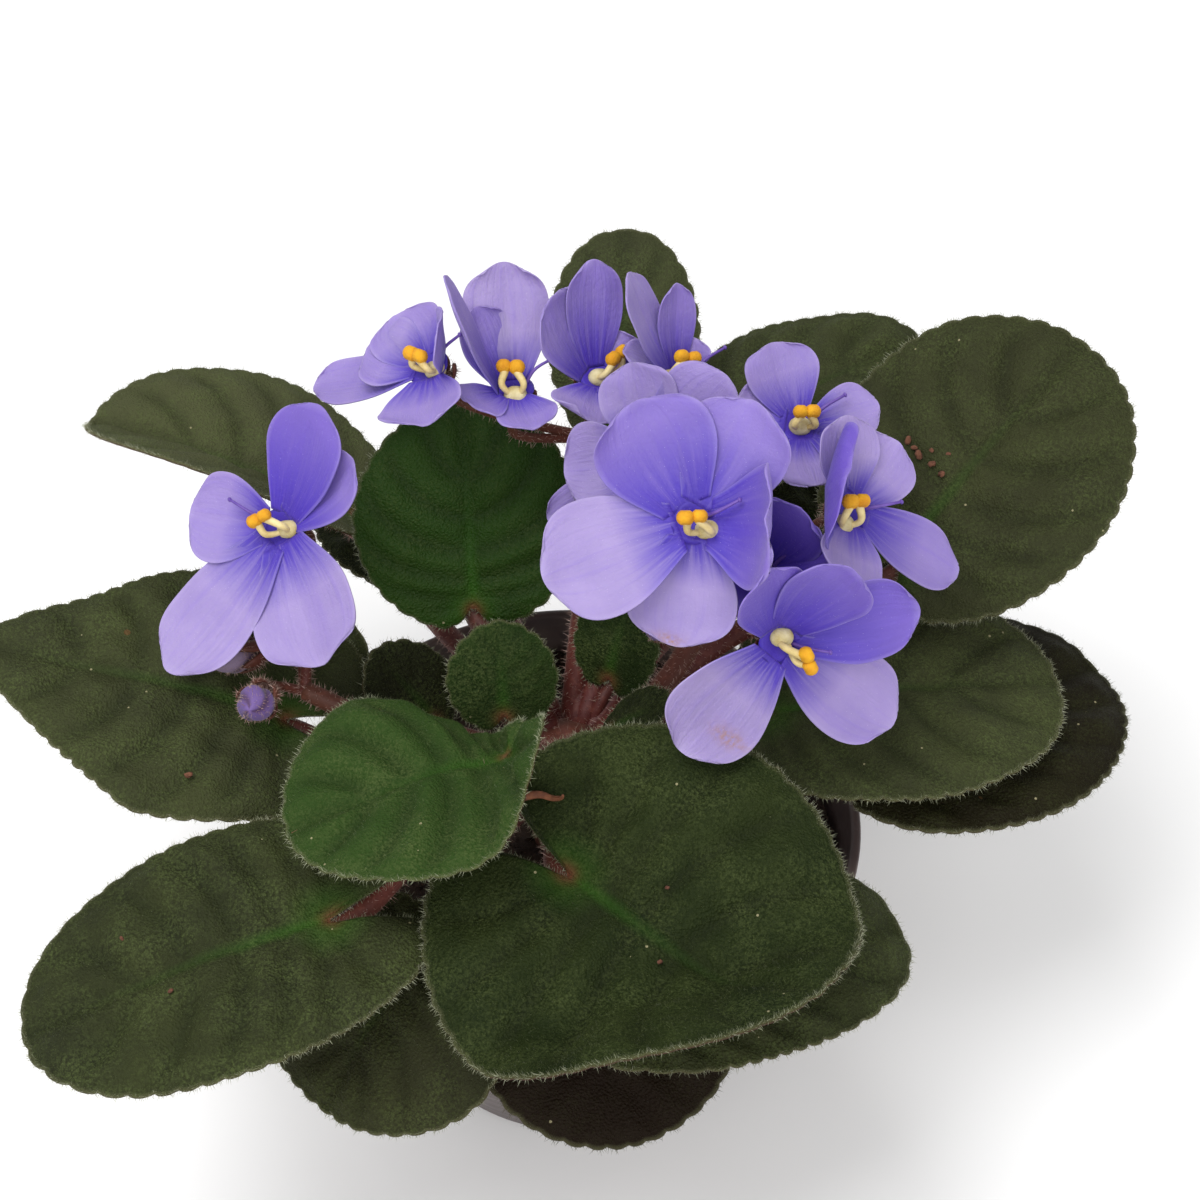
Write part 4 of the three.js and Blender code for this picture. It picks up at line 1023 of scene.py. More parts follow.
def build_mottle():
    """Soft patches of two sizes, from 0 to 1."""
    tree, given, made = new_group(
        "mottle", [("Vector", "NodeSocketVector", None), ("Scale", "NodeSocketFloat", 60.0)],
        ["Patches", "Grain"])
    tree.links.new(ramp(tree, noise(tree, given["Vector"], given["Scale"], 3.0), 0.3, 0.7), made["Patches"])
    finer = times(tree, given["Scale"], 11.0)
    tree.links.new(noise(tree, given["Vector"], finer, 4.0, 0.65), made["Grain"])
    return tree


SPECKS = build_specks()
MOTTLE = build_mottle()


def specks(tree, where, scale, size, share):
    made = add_node(tree, "ShaderNodeGroup", {"node_tree": SPECKS}, Vector=where, Scale=scale, Size=size,
                    Share=share)
    return made.outputs["Mask"]


def mottle(tree, where, scale):
    made = add_node(tree, "ShaderNodeGroup", {"node_tree": MOTTLE}, Vector=where, Scale=scale)
    return made.outputs["Patches"], made.outputs["Grain"]


def bump(tree, shader, height, distance, strength=1.0):
    made = add_node(tree, "ShaderNodeBump", None, Height=height, Distance=distance, Strength=strength)
    give(tree, shader, Normal=made.outputs["Normal"])


print("shared groups:", SPECKS.name, "and", MOTTLE.name)

# %% [markdown]
# The leaf's finish reads the marks that the blade's mesh carries. The upper face is deep green, brighter
# at the heart where the stalk joins, and the underside is dark red. Small cells stand for the feet of the
# hairs and shape the skin's bumps; with fine noise they also lay painted glints, the hairs catching the
# light, which are stronger on the puffs of a broader noise. Painted shade darkens the vein grooves, a dark
# red-brown that is partly the leaf's own and partly painted shade darkens the leaves that lie in shadow, a
# painted sheen greys the pale leaves, and a painted highlight lightens the margin, where its fringe of
# hairs catches the light.
# %% Leaf finish
def make_leaf_finish():
    material, tree, shader, where = start_material("leaf_velvet")
    patches, _ = mottle(tree, where, 70.0)
    cells = add_node(tree, "ShaderNodeTexVoronoi", {"feature": "SMOOTH_F1"}, Vector=where, Scale=2500.0,
                     Smoothness=0.4).outputs["Distance"]
    quilt = noise(tree, where, 120.0, 2.0)
    fleece = noise(tree, where, 1700.0, 3.0, 0.7)
    sleek = mark(tree, "sleek")
    colour = mix(tree, patches, linear(10, 16, 4), linear(34, 40, 14))
    colour = layer(tree, colour, (34, 62, 14), mark(tree, "fresh"))
    # painted sheen: the pale grey-olive cast of a leaf that is seen at a grazing angle
    colour = layer(tree, colour, (84, 86, 58), mark(tree, "dusty"), 0.6)
    # painted shade in the grooves of the veins
    colour = layer(tree, colour, (13, 19, 6), mark(tree, "vein"), 0.35)
    # painted glints: the hairs and the tops of the cells catching the light, stronger on the broad noise's
    # puffs
    lit = plus(tree, ramp(tree, cells, 0.15, 0.5, 0.2, 0.0), ramp(tree, fleece, 0.42, 0.7, 0.0, 0.31))
    lit = times(tree, lit, ramp(tree, sleek, 0.0, 1.0, 1.0, 0.3))
    colour = layer(tree, colour, (82, 94, 52), lit, ramp(tree, quilt, 0.36, 0.64, 0.3, 1.6))
    colour = layer(tree, colour, (44, 90, 16), ramp(tree, mark(tree, "heart"), 0.1, 1.0, 0.0, 0.62))
    # dark red-brown, partly the leaf's own red and partly painted shade on the leaves that lie in shadow
    colour = layer(tree, colour, (24, 12, 6), mark(tree, "wine"), 0.9)
    # painted highlight: the margin's fringe of hairs catching the light
    colour = layer(tree, colour, (104, 104, 74), ramp(tree, mark(tree, "edge"), 0.3, 1.0, 0.0, 0.35))
    colour = layer(tree, colour, (112, 56, 48), mark(tree, "joint"), 0.8)
    under = mix(tree, mark(tree, "vein"), linear(66, 34, 30), linear(112, 88, 62))
    colour = mix(tree, mark(tree, "under"), colour, under)
    colour = layer(tree, colour, (160, 152, 118), specks(tree, where, 420.0, 0.09, 0.06), 0.7)
    colour = layer(tree, colour, (92, 66, 40), specks(tree, where, 150.0, 0.09, 0.08), 0.7)
    skin = maths(tree, "SUBTRACT", times(tree, quilt, 0.7), times(tree, cells, 0.3))
    bump(tree, shader, plus(tree, skin, times(tree, fleece, 0.35)), 0.0007)
    give(tree, shader, Base_Color=colour, Roughness=ramp(tree, sleek, 0.0, 1.0, 0.66, 0.4),
         Specular_IOR_Level=0.1)
    return material


leaf_velvet = make_leaf_finish()
print("nodes of the leaf finish:", len(leaf_velvet.node_tree.nodes))

# %% [markdown]
# The hairs are nearly clear on the real leaf and look pale because they catch the light. Each keeps the
# marks of the blade where it stands, so that the pile is dark on a dark leaf and palest round the margin.
# %% Hair finish
def make_hair_finish(name, dark, light):
    material, tree, shader, where = start_material(name)
    shades = ramp(tree, noise(tree, where, 900.0, 1.0), 0.3, 0.7)
    colour = mix(tree, shades, linear(*dark), linear(*light))
    wine = mark(tree, "wine")
    colour = layer(tree, colour, (78, 104, 44), mark(tree, "fresh"), 0.4)
    # dark red-brown on the hairs, partly painted shade on the leaves that lie in shadow
    colour = layer(tree, colour, (34, 18, 10), wine, 0.9)
    rim = ramp(tree, mark(tree, "edge"), 0.1, 1.0, 0.0, 0.7)
    colour = layer(tree, colour, (158, 160, 134), rim, ramp(tree, wine, 0.0, 1.0, 1.0, 0.35))
    give(tree, shader, Base_Color=colour, Roughness=0.5)
    return material


leaf_hair = make_hair_finish("leaf_hair", (26, 34, 12), (96, 104, 58))
stalk_hair = make_hair_finish("stalk_hair", (124, 88, 78), (190, 164, 150))
print("hair finishes:", leaf_hair.name, "and", stalk_hair.name)

# %% [markdown]
# Stalks are fleshy and dark red, greener where they are young, with a fine length-wise grain under their
# hairs.
# %% Stalk finish
def make_stalk_finish():
    material, tree, shader, where = start_material("stalk_flesh")
    patches, grain = mottle(tree, where, 90.0)
    red = mix(tree, patches, linear(66, 24, 22), linear(96, 40, 34))
    colour = mix(tree, mark(tree, "ripe"), linear(74, 62, 36), red)
    colour = layer(tree, colour, (134, 82, 66), ramp(tree, grain, 0.5, 0.7, 0.0, 0.3))
    bump(tree, shader, grain, 0.0002, 0.6)
    give(tree, shader, Base_Color=colour, Roughness=0.55, Specular_IOR_Level=0.3, Sheen_Weight=0.1,
         Sheen_Tint=linear(220, 190, 170))
    return material


stalk_flesh = make_stalk_finish()
print("nodes of the stalk finish:", len(stalk_flesh.node_tree.nodes))

# %% [markdown]
# A petal is deep blue-violet at the throat and pale lilac at its rim, with darker veins that fan out
# along it. Its whole face is deepened by its mark, partly its own darker violet and partly painted shade
# where it lies in shadow. The veins are noise stretched along the petal, in its own across and along
# coordinates. The cells of a petal's skin sparkle, which a few tiny bright specks stand for.
# %% Petal finish
def make_petal_finish():
    material, tree, shader, where = start_material("petal_violet")
    along, across, shade = [mark(tree, name) for name in ("along", "across", "shade")]
    fan = add_node(tree, "ShaderNodeCombineXYZ", None, X=times(tree, across, 7.0), Y=times(tree, along, 1.1),
                   Z=times(tree, mark(tree, "number"), 7.3)).outputs[0]
    streaks = noise(tree, fan, 1.0, 3.0, 0.6)
    patches, grain = mottle(tree, where, 110.0)
    colour = mix(tree, patches, linear(140, 124, 176), linear(154, 138, 186))
    # this mark deepens the whole petal: partly its own darker violet, partly painted shade where it lies in
    # shadow
    colour = layer(tree, colour, (84, 56, 168), shade)
    reach = plus(tree, 0.4, times(tree, shade, 0.6))
    rootward = maths(tree, "SUBTRACT", 1.0, maths(tree, "DIVIDE", along, reach), True)
    rootward = times(tree, rootward, ramp(tree, streaks, 0.3, 0.65, 0.7, 1.5), True)
    colour = layer(tree, colour, (56, 30, 158), rootward)
    colour = layer(tree, colour, (112, 88, 184), ramp(tree, streaks, 0.5, 0.7, 0.0, 0.22))
    sides = ramp(tree, maths(tree, "ABSOLUTE", across), 0.9, 1.0)
    rim = maths(tree, "MAXIMUM", ramp(tree, along, 0.93, 1.0), sides)
    colour = layer(tree, colour, (182, 170, 214), rim, 0.18)
    colour = layer(tree, colour, (150, 112, 92), mark(tree, "worn"), ramp(tree, grain, 0.35, 0.6))
    glints = specks(tree, where, 4200.0, 0.2, 0.05)
    colour = layer(tree, colour, (226, 220, 240), glints, 0.25)
    roughness = maths(tree, "SUBTRACT", 0.6, times(tree, glints, 0.25))
    bump(tree, shader, plus(tree, streaks, times(tree, grain, 0.7)), 0.00025, 0.8)
    give(tree, shader, Base_Color=colour, Roughness=roughness, Sheen_Weight=0.15,
         Sheen_Tint=linear(214, 204, 240), Subsurface_Weight=0.12, Subsurface_Radius=(0.0016, 0.001, 0.003),
         Subsurface_Scale=1.0)
    return material


petal_violet = make_petal_finish()
print("nodes of the petal finish:", len(petal_violet.node_tree.nodes))

# %% [markdown]
# The small parts are one colour each from a step away, so they share one recipe: a mottle between two
# near shades and a fine grain. Its colours, scale and depth are what tells pollen from perlite.
# %% Finishes of the small parts
def make_plain_finish(name, dark, light, scale, roughness, depth):
    material, tree, shader, where = start_material(name)
    patches, grain = mottle(tree, where, scale)
    colour = mix(tree, patches, linear(*dark), linear(*light))
    colour = layer(tree, colour, light, ramp(tree, grain, 0.45, 0.7, 0.0, 0.3))
    bump(tree, shader, grain, depth, 0.7)
    give(tree, shader, Base_Color=colour, Roughness=roughness)
    return material


style_violet, anther_pollen, throat_cream, filament_cream, litter_crumb, dried_petal, perlite = [
    make_plain_finish(*recipe) for recipe in (
        ("style_violet", (70, 40, 130), (112, 84, 170), 300.0, 0.5, 0.0001),
        ("anther_pollen", (208, 136, 4), (232, 172, 12), 500.0, 0.7, 0.0003),
        ("throat_cream", (176, 156, 92), (216, 204, 160), 500.0, 0.6, 0.0002),
        ("filament_cream", (186, 160, 92), (226, 208, 150), 400.0, 0.5, 0.0001),
        ("litter_crumb", (84, 48, 34), (122, 78, 56), 900.0, 0.9, 0.0002),
        ("dried_petal", (96, 52, 34), (148, 92, 60), 900.0, 0.6, 0.0002),
        ("perlite", (170, 164, 150), (226, 222, 210), 400.0, 0.85, 0.0004))]
print("nodes of a plain finish:", len(perlite.node_tree.nodes))

# %% [markdown]
# Buds are violet or grey-mauve, maroon at their foot, and darkened with painted shade in the seams between
# their rolled petals.
# %% Bud finish
def make_bud_finish():
    material, tree, shader, where = start_material("bud_mauve")
    patches, grain = mottle(tree, where, 200.0)
    colour = mix(tree, patches, linear(78, 54, 116), linear(106, 82, 142))
    colour = layer(tree, colour, (122, 104, 128), mark(tree, "grey"))
    colour = layer(tree, colour, (92, 54, 62), ramp(tree, mark(tree, "along"), 0.0, 0.35, 0.6, 0.0))
    # painted shade in the seams between the rolled petals
    colour = layer(tree, colour, (60, 28, 66), mark(tree, "seam"), 0.9)
    bump(tree, shader, grain, 0.0002, 0.6)
    give(tree, shader, Base_Color=colour, Roughness=0.7, Sheen_Weight=0.15)
    return material


bud_mauve = make_bud_finish()
print("nodes of the bud finish:", len(bud_mauve.node_tree.nodes))

# %% [markdown]
# The pot is moulded plastic that has been handled and watered: a satin skin with faint scuffs, and a
# bloom of dust and dried splashes that grows towards the rim.
# %% Pot finish
def make_pot_finish():
    material, tree, shader, where = start_material("pot_plastic")
    patches, grain = mottle(tree, where, 34.0)
    height = add_node(tree, "ShaderNodeSeparateXYZ", None, Vector=where).outputs["Z"]
    high = ramp(tree, height, 0.02, RIM * MM, 0.1, 0.55)
    stretched = add_node(tree, "ShaderNodeMapping", None, Vector=where, Scale=(90, 90, 700)).outputs[0]
    scuffs = noise(tree, stretched, 1.0, 4.0, 0.7)
    colour = mix(tree, patches, linear(80, 69, 68), linear(92, 80, 79))
    colour = layer(tree, colour, (132, 120, 110), ramp(tree, patches, 0.5, 1.0), high)
    colour = layer(tree, colour, (120, 110, 106), ramp(tree, scuffs, 0.62, 0.75, 0.0, 0.4))
    colour = layer(tree, colour, (180, 170, 150), specks(tree, where, 260.0, 0.1, 0.06))
    bump(tree, shader, plus(tree, grain, scuffs), 0.00012, 0.5)
    give(tree, shader, Base_Color=colour, Roughness=ramp(tree, scuffs, 0.3, 0.8, 0.36, 0.62))
    return material


pot_plastic = make_pot_finish()
print("nodes of the pot finish:", len(pot_plastic.node_tree.nodes))

# %% [markdown]
# Potting mix is peat and bark: dark brown patches with lighter crumbs, as rough as a finish can be.
# %% Soil finish
def make_soil_finish():
    material, tree, shader, where = start_material("soil_crumb")
    patches, grain = mottle(tree, where, 150.0)
    colour = mix(tree, patches, linear(30, 21, 15), linear(66, 48, 35))
    colour = layer(tree, colour, (104, 80, 58), ramp(tree, grain, 0.55, 0.75, 0.0, 0.6))
    bump(tree, shader, grain, 0.0009)
    give(tree, shader, Base_Color=colour, Roughness=0.92)
    return material


soil_crumb = make_soil_finish()
print(len(bpy.data.materials), "materials")

# %% [markdown]
# The velvet itself is made of hairs. They could be a particle system, but a Geometry Nodes tree keeps its
# inputs in one place: it scatters points over a surface by the `hairy` mark, stands a thin cone on each,
# leaning at random from the surface, and gives back one plain mesh. A tree for crumbs starts and ends in
# the same way.
# %% How a scattering tree starts and ends
def start_scatter(name, mark_name, *given_inputs):
    """A tree whose points lie at random on its surface, as densely as a mark says; its given inputs too."""
    tree = bpy.data.node_groups.new(name, "GeometryNodeTree")
    for label, kind in (("Geometry", "Geometry"), ("Density", "Float"), *given_inputs, ("Seed", "Int"),
                        ("Finish", "Material")):
        tree.interface.new_socket(label, in_out="INPUT", socket_type="NodeSocket" + kind)
    tree.interface.new_socket("Geometry", in_out="OUTPUT", socket_type="NodeSocketGeometry")
    given = tree.nodes.new("NodeGroupInput").outputs
    share = add_node(tree, "GeometryNodeInputNamedAttribute", {"data_type": "FLOAT"}, Name=mark_name)
    density = times(tree, given["Density"], share.outputs["Attribute"])
    points = add_node(tree, "GeometryNodeDistributePointsOnFaces", None, Mesh=given["Geometry"],
                      Density=density, Seed=given["Seed"])
    return tree, given, points


def end_scatter(tree, given, instances):
    """Makes the instances real, gives them their finish and hands them out."""
    real = add_node(tree, "GeometryNodeRealizeInstances", None, Geometry=instances.outputs[0])
    painted = add_node(tree, "GeometryNodeSetMaterial", None, Geometry=real.outputs[0],
                       Material=given["Finish"])
    give(tree, tree.nodes.new("NodeGroupOutput"), Geometry=painted.outputs[0])
    return tree


def random_node(tree, kind, given, **limits):
    return add_node(tree, "FunctionNodeRandomValue", {"data_type": kind}, Seed=given["Seed"], **limits)


# %% [markdown]
# A hair is a cone of three sides, since it is seen from far off and there are a great many. It leans away
# from the surface's normal by a random vector, and the hairs of the margin are longer than those of the
# faces.
# %% The hair tree
def build_hair_tree():
    lengths = [(label, "Float") for label in ("Length", "Thickness", "Lean", "Inner")]
    tree, given, points = start_scatter("pile of hairs", "hairy", *lengths)
    stray = random_node(tree, "FLOAT_VECTOR", given, i0=(-1, -1, -1), i1=(1, 1, 1))
    lean = add_node(tree, "ShaderNodeVectorMath", {"operation": "SCALE"}, i0=stray.outputs[0],
                    Scale=given["Lean"])
    way = add_node(tree, "ShaderNodeVectorMath", {"operation": "ADD"}, i0=points.outputs["Normal"],
                   i1=lean.outputs[0])
    turn = add_node(tree, "FunctionNodeAlignRotationToVector", {"axis": "Z"}, Vector=way.outputs[0])
    size = random_node(tree, "FLOAT", given, i2=0.5, i3=1.35)
    hair = add_node(tree, "GeometryNodeMeshCone", {"fill_type": "NGON"}, Vertices=3, Radius_Top=0.0,
                    Radius_Bottom=given["Thickness"], Depth=given["Length"])
    edge = add_node(tree, "GeometryNodeInputNamedAttribute", {"data_type": "FLOAT"}, Name="edge")
    share = ramp(tree, edge.outputs["Attribute"], 0.0, 1.0, given["Inner"], 1.0)
    stood = add_node(tree, "GeometryNodeInstanceOnPoints", None, Points=points.outputs["Points"],
                     Instance=hair.outputs["Mesh"], Rotation=turn.outputs[0],
                     Scale=times(tree, size.outputs[1], share))
    return end_scatter(tree, given, stood)


def run_tree(tree, source, name, **inputs):
    """Runs a Geometry Nodes tree on a copy of an object and returns the result as a plain mesh object."""
    host = bpy.data.objects.new("host", source.data)
    bpy.context.scene.collection.objects.link(host)
    modifier = host.modifiers.new("tree", "NODES")
    modifier.node_group = tree
    for item in tree.interface.items_tree:
        if item.in_out == "INPUT" and item.name in inputs:
            modifier[item.identifier] = inputs[item.name]
    evaluated = host.evaluated_get(bpy.context.evaluated_depsgraph_get())
    mesh = bpy.data.meshes.new_from_object(evaluated)
    mesh.name = name
    bpy.data.objects.remove(host)
    made = bpy.data.objects.new(name, mesh)
    bpy.context.scene.collection.objects.link(made)
    return made


HAIR_TREE = build_hair_tree()


def grow_hairs(source, name, per_mm2, length, thickness, lean, seed, finish, inner=1.0):
    density = per_mm2 / MM**2 * 1
    return run_tree(HAIR_TREE, source, name, Density=density, Length=length * MM, Thickness=thickness * MM,
                    Lean=lean, Inner=inner, Seed=seed, Finish=finish)


print("inputs of the hair tree:", [item.name for item in HAIR_TREE.interface.items_tree])

# %% [markdown]
# Now the blades are made, each with its coat of hair. The hair is a piece of its own that rides along,
# which keeps the leaf's own mesh light.
# %% Make the leaves
LEAF_HAIR_LENGTH = 0.85
FACE_HAIR_SHARE = 0.42  # how long the hairs on the faces are, as a share of the margin's
for number, leaf in enumerate(LEAVES):
    blade = blade_shape(leaf, number).to_object(leaf["name"] + "_blade", [leaf_velvet])
    slot = "leaf_young" if leaf["name"] == "leaf_young_folded" else "leaf"
    dress(blade, slot, leaf["name"])
    coat = grow_hairs(blade, leaf["name"] + "_hairs", 4.5, LEAF_HAIR_LENGTH, 0.04, 0.7, number, leaf_hair,
                      FACE_HAIR_SHARE)
    dress(coat, slot)
print("faces of one blade:", len(blade.data.polygons))

# %% [markdown]
# The crown is a short stem, and the petioles grow out of it. They are one living piece, so they are one
# mesh here.
# %% Make the crown and the petioles
CROWN_ROOT = RIM - 30
CROWN_LEVELS = (CROWN_ROOT, CROWN_ROOT + 12, COLLAR - 8, CROWN_TOP - 6, CROWN_TOP - 1.5, CROWN_TOP - 0.2)
CROWN_GIRTHS = (4.9, 7.0, 6.6, 7.0, 5.0, 2.0)
CROWN_STEPS = 40
crown = Shape()
heights = np.linspace(CROWN_LEVELS[0], CROWN_LEVELS[-1], CROWN_STEPS)
path = np.stack([np.zeros(CROWN_STEPS), np.zeros(CROWN_STEPS), heights], -1)
knots = np.interp(heights, CROWN_LEVELS, CROWN_GIRTHS) + 0.25 * np.sin(heights * 1.7)
points, faces, along = tube(path, knots, 32)
crown.add(points, faces, ripe=0.8, hairy=0.4)
for leaf in LEAVES:
    path, radius = petiole_path(leaf)
    girth = radius * (1 + 0.25 * np.linspace(1, 0, len(path)) ** 4)
    points, faces, along = tube(path, girth, 14)
    crown.add(points, faces, ripe=1 - 0.35 * along**2, hairy=0.6)
stalks = dress(crown.to_object("crown_and_petioles", [stalk_flesh]), "stalk", "crown_stalks")
dress(grow_hairs(stalks, "petiole_hairs", 1.6, 1.1, 0.05, 0.5, 50, stalk_hair), "stalk")
print("faces of the crown and petioles:", len(stalks.data.polygons))

# %% [markdown]
# The blooms, their anthers, the sprays that carry them and the buds follow from the functions above.
# %% Make the blooms and the sprays
PETAL_FINISHES = [petal_violet, style_violet, throat_cream]
for number, bloom in enumerate(BLOOMS):
    corolla = corolla_shape(bloom, number).to_object("corolla_" + bloom["name"], PETAL_FINISHES)
    dress(corolla, "petal", "petals_" + bloom["name"])
    stamens = anther_shape(bloom, number)
    stamens = stamens.to_object("stamens_" + bloom["name"], [anther_pollen, filament_cream])
    dress(stamens, "anther", "anthers_" + bloom["name"])
for number, spray in enumerate(SPRAYS):
    stems = spray_shape(spray).to_object("spray_stalks_" + spray["name"], [stalk_flesh])
    dress(stems, "stalk", "spray_" + spray["name"])
    coat = grow_hairs(stems, "spray_hairs_" + spray["name"], 2.4, 1.0, 0.045, 0.5, 60 + number, stalk_hair)
    dress(coat, "stalk")
    for bud in spray["buds"]:
        egg_shaped = bud_shape(bud).to_object(bud["name"] + "_petals", [bud_mauve])
        dress(egg_shaped, "bud", bud["name"])
        dress(grow_hairs(egg_shaped, bud["name"] + "_hairs", 3, 0.6, 0.04, 0.4, 70, stalk_hair), "bud")

# %% [markdown]
# The pot is turned like a vase: a profile of radius and height swept round the axis, with a small round
# at each corner. Its walls are the solid's, taken from the frame. The drain holes are cut with a Boolean.
# %% Make the pot
POT_WALL = 1.8
RIM_RADIUS = POT_HIGH[0]
BASE_RADIUS = 31.0
BAND_HEIGHT = 10.0
BAND_STEP = 1.6
NECK_RADIUS = RIM_RADIUS - BAND_STEP - 2.6
INSIDE_RADIUS = NECK_RADIUS + BAND_STEP - POT_WALL
BAND_FOOT = RIM - BAND_HEIGHT
POT_SIDES = 128
DRAIN_HOLES = 6
DRAIN_CIRCLE = 20.0
DRAIN_RADIUS = 3.5
pot_profile = [
    (0, 0), (BASE_RADIUS, 0), (NECK_RADIUS, BAND_FOOT - 0.6), (NECK_RADIUS + BAND_STEP, BAND_FOOT),
    (RIM_RADIUS, RIM), (RIM_RADIUS - POT_WALL, RIM), (INSIDE_RADIUS, BAND_FOOT + 1),
    (NECK_RADIUS - POT_WALL, BAND_FOOT - 1), (BASE_RADIUS - POT_WALL, POT_WALL), (0, POT_WALL),
]


def rounded(profile, radius, steps=5):
    """A profile with each of its inner corners turned into a small arc."""
    profile = np.asarray(profile, float)
    out = [profile[0]]
    for before, corner, after in zip(profile[:-2], profile[1:-1], profile[2:]):
        reach = min(radius, 0.45 * np.linalg.norm(before - corner), 0.45 * np.linalg.norm(after - corner))
        a = corner + unit(before - corner) * reach
        b = corner + unit(after - corner) * reach
        for t in np.linspace(0, 1, steps):
            out.append((1 - t) ** 2 * a + 2 * t * (1 - t) * corner + t * t * b)
    return np.array([*out, profile[-1]])


def lathe_shape(profile, sides, **marks):
    """A closed turned shape whose profile starts and ends on the axis."""
    shape = Shape()
    shape.add(turned_points(profile, sides), turned_faces(len(profile) - 2, sides), **marks)
    return shape


def cut(target, cutter):
    """Cuts one object out of another and leaves a plain mesh."""
    modifier = target.modifiers.new("cut", "BOOLEAN")
    modifier.operation = "DIFFERENCE"
    modifier.object = cutter
    modifier.solver = "EXACT"
    mesh = bpy.data.meshes.new_from_object(target.evaluated_get(bpy.context.evaluated_depsgraph_get()))
    target.modifiers.clear()
    target.data = mesh
    bpy.data.objects.remove(cutter)


pot = lathe_shape(rounded(pot_profile, 1.0), POT_SIDES).to_object("pot_turned", [pot_plastic])
drills = Shape()
for number in range(DRAIN_HOLES):
    angle = 2 * math.pi * number / DRAIN_HOLES
    centre = np.array([DRAIN_CIRCLE * math.cos(angle), DRAIN_CIRCLE * math.sin(angle), 0])
    points, faces, _ = tube([centre - [0, 0, 1], centre + [0, 0, POT_WALL + 1]], DRAIN_RADIUS, 28)
    drills.add(points, faces)
cut(pot, drills.to_object("drills", [pot_plastic]))
dress(pot, "pot", "pot")
print("faces of the pot:", len(pot.data.polygons))

# %% [markdown]
# Potting mix is a low mound of dark crumbs with white perlite in it. A crumb is a small ball, dented by
# noise, and the scattering tree lays copies of it at all angles and sizes.
# %% The crumb tree
def build_crumb_tree():
    tree, given, points = start_scatter("scattered crumbs", "loose", ("Size", "Float"))
    lump = add_node(tree, "GeometryNodeMeshIcoSphere", None, Radius=given["Size"], Subdivisions=2)
    place = tree.nodes.new("GeometryNodeInputPosition").outputs[0]
    dents = add_node(tree, "ShaderNodeTexNoise", None, Vector=place, Scale=900.0, Detail=1.0)
    dented = add_node(tree, "ShaderNodeVectorMath", {"operation": "SCALE"}, i0=place,
                      Scale=ramp(tree, dents.outputs["Fac"], 0.3, 0.7, 0.55, 1.25))
    crumb = add_node(tree, "GeometryNodeSetPosition", None, Geometry=lump.outputs["Mesh"],
                     Position=dented.outputs[0])
    turn = random_node(tree, "FLOAT_VECTOR", given, i1=(6.3, 6.3, 6.3))
    size = random_node(tree, "FLOAT_VECTOR", given, i0=(0.4, 0.4, 0.3), i1=(1.3, 1.1, 0.8))
    laid = add_node(tree, "GeometryNodeInstanceOnPoints", None, Points=points.outputs["Points"],
                    Instance=crumb.outputs[0], Rotation=turn.outputs[0], Scale=size.outputs[0])
    return end_scatter(tree, given, laid)


CRUMB_TREE = build_crumb_tree()
print("nodes of the crumb tree:", len(CRUMB_TREE.nodes))

# %% [markdown]
# The mound is turned like the pot, a little clear of its wall, and its top is roughened by random waves.
# Only the top is marked as loose, so the crumbs lie there and nowhere else.
# %% Make the soil
SOIL_TOP = RIM - 6
SLACK = 0.42
SOIL_FOOT = POT_WALL + 0.35
MOUND_RISE = 1.2
MOUND_ROUGHNESS = 0.9
SOIL_SIDES = 120
soil_profile = [(0, SOIL_FOOT), (BASE_RADIUS - POT_WALL - SLACK, SOIL_FOOT),
                (NECK_RADIUS - POT_WALL - SLACK, BAND_FOOT - 1), (INSIDE_RADIUS - SLACK, BAND_FOOT + 1),
                (INSIDE_RADIUS - SLACK, SOIL_TOP - 0.6)]
soil_profile += [((INSIDE_RADIUS - 1) * share, SOIL_TOP + MOUND_RISE * (1 - share**2))
                 for share in np.linspace(1, 0.02, 26)]
soil_profile += [(0, SOIL_TOP + MOUND_RISE)]
soil_shape = lathe_shape(np.array(soil_profile), SOIL_SIDES, loose=0.0)
mound = soil_shape.points[0]
top = mound[:, 2] > SOIL_TOP - 0.3
generator = np.random.default_rng(7)
x, y = mound[:, 0], mound[:, 1]
rough = 1.1 * waves(generator, x, y, 9) + 0.8 * waves(generator, x, y, 3.5)
mound[top, 2] += np.minimum(rough[top], MOUND_ROUGHNESS)
soil_shape.marks["loose"] = [top.astype(float)]
soil = dress(soil_shape.to_object("soil_mound", [soil_crumb]), "soil", "soil")
crumbs = run_tree(CRUMB_TREE, soil, "soil_crumbs", Density=0.16 / MM**2, Size=1.0 * MM, Seed=3,
                  Finish=soil_crumb)
dress(crumbs, "soil")
grains = run_tree(CRUMB_TREE, soil, "soil_perlite", Density=0.02 / MM**2, Size=1.1 * MM, Seed=8,
                  Finish=perlite)
dress(grains, "soil")
print("faces of the crumbs:", len(crumbs.data.polygons), len(grains.data.polygons))

# %% [markdown]
# A few crumbs of soil and a curled scrap of an old petal lie on the leaves. Each is placed on the blade's
# own surface, by how far it lies along the midrib and to the side.
# %% Make the litter on the leaves
# Each crumb's place along and across the midrib, and its radius.
LITTER = dict(
    leaf_back_right=[(17.4, 11.3, 0.7), (17, 9.6, 0.5), (16.5, 8.2, 0.8), (18.4, 7, 0.5), (16.6, 5.4, 0.6),
                     (19.6, 4.3, 0.45), (16.2, 3, 0.7), (5.4, 5.4, 0.6), (7, 3.6, 0.35), (3.6, 7.4, 0.4)],
    leaf_front=[(20, -3, 0.4), (14, 7, 0.35)], leaf_front_left=[(26, 4, 0.4), (31, -8, 0.35)],
    leaf_left=[(12, 17, 0.6)])
LITTER_STAND = 1.1  # how far over the blade's middle surface a crumb lies
CRUMB_FORM = (1.2, 0.9, 0.7)
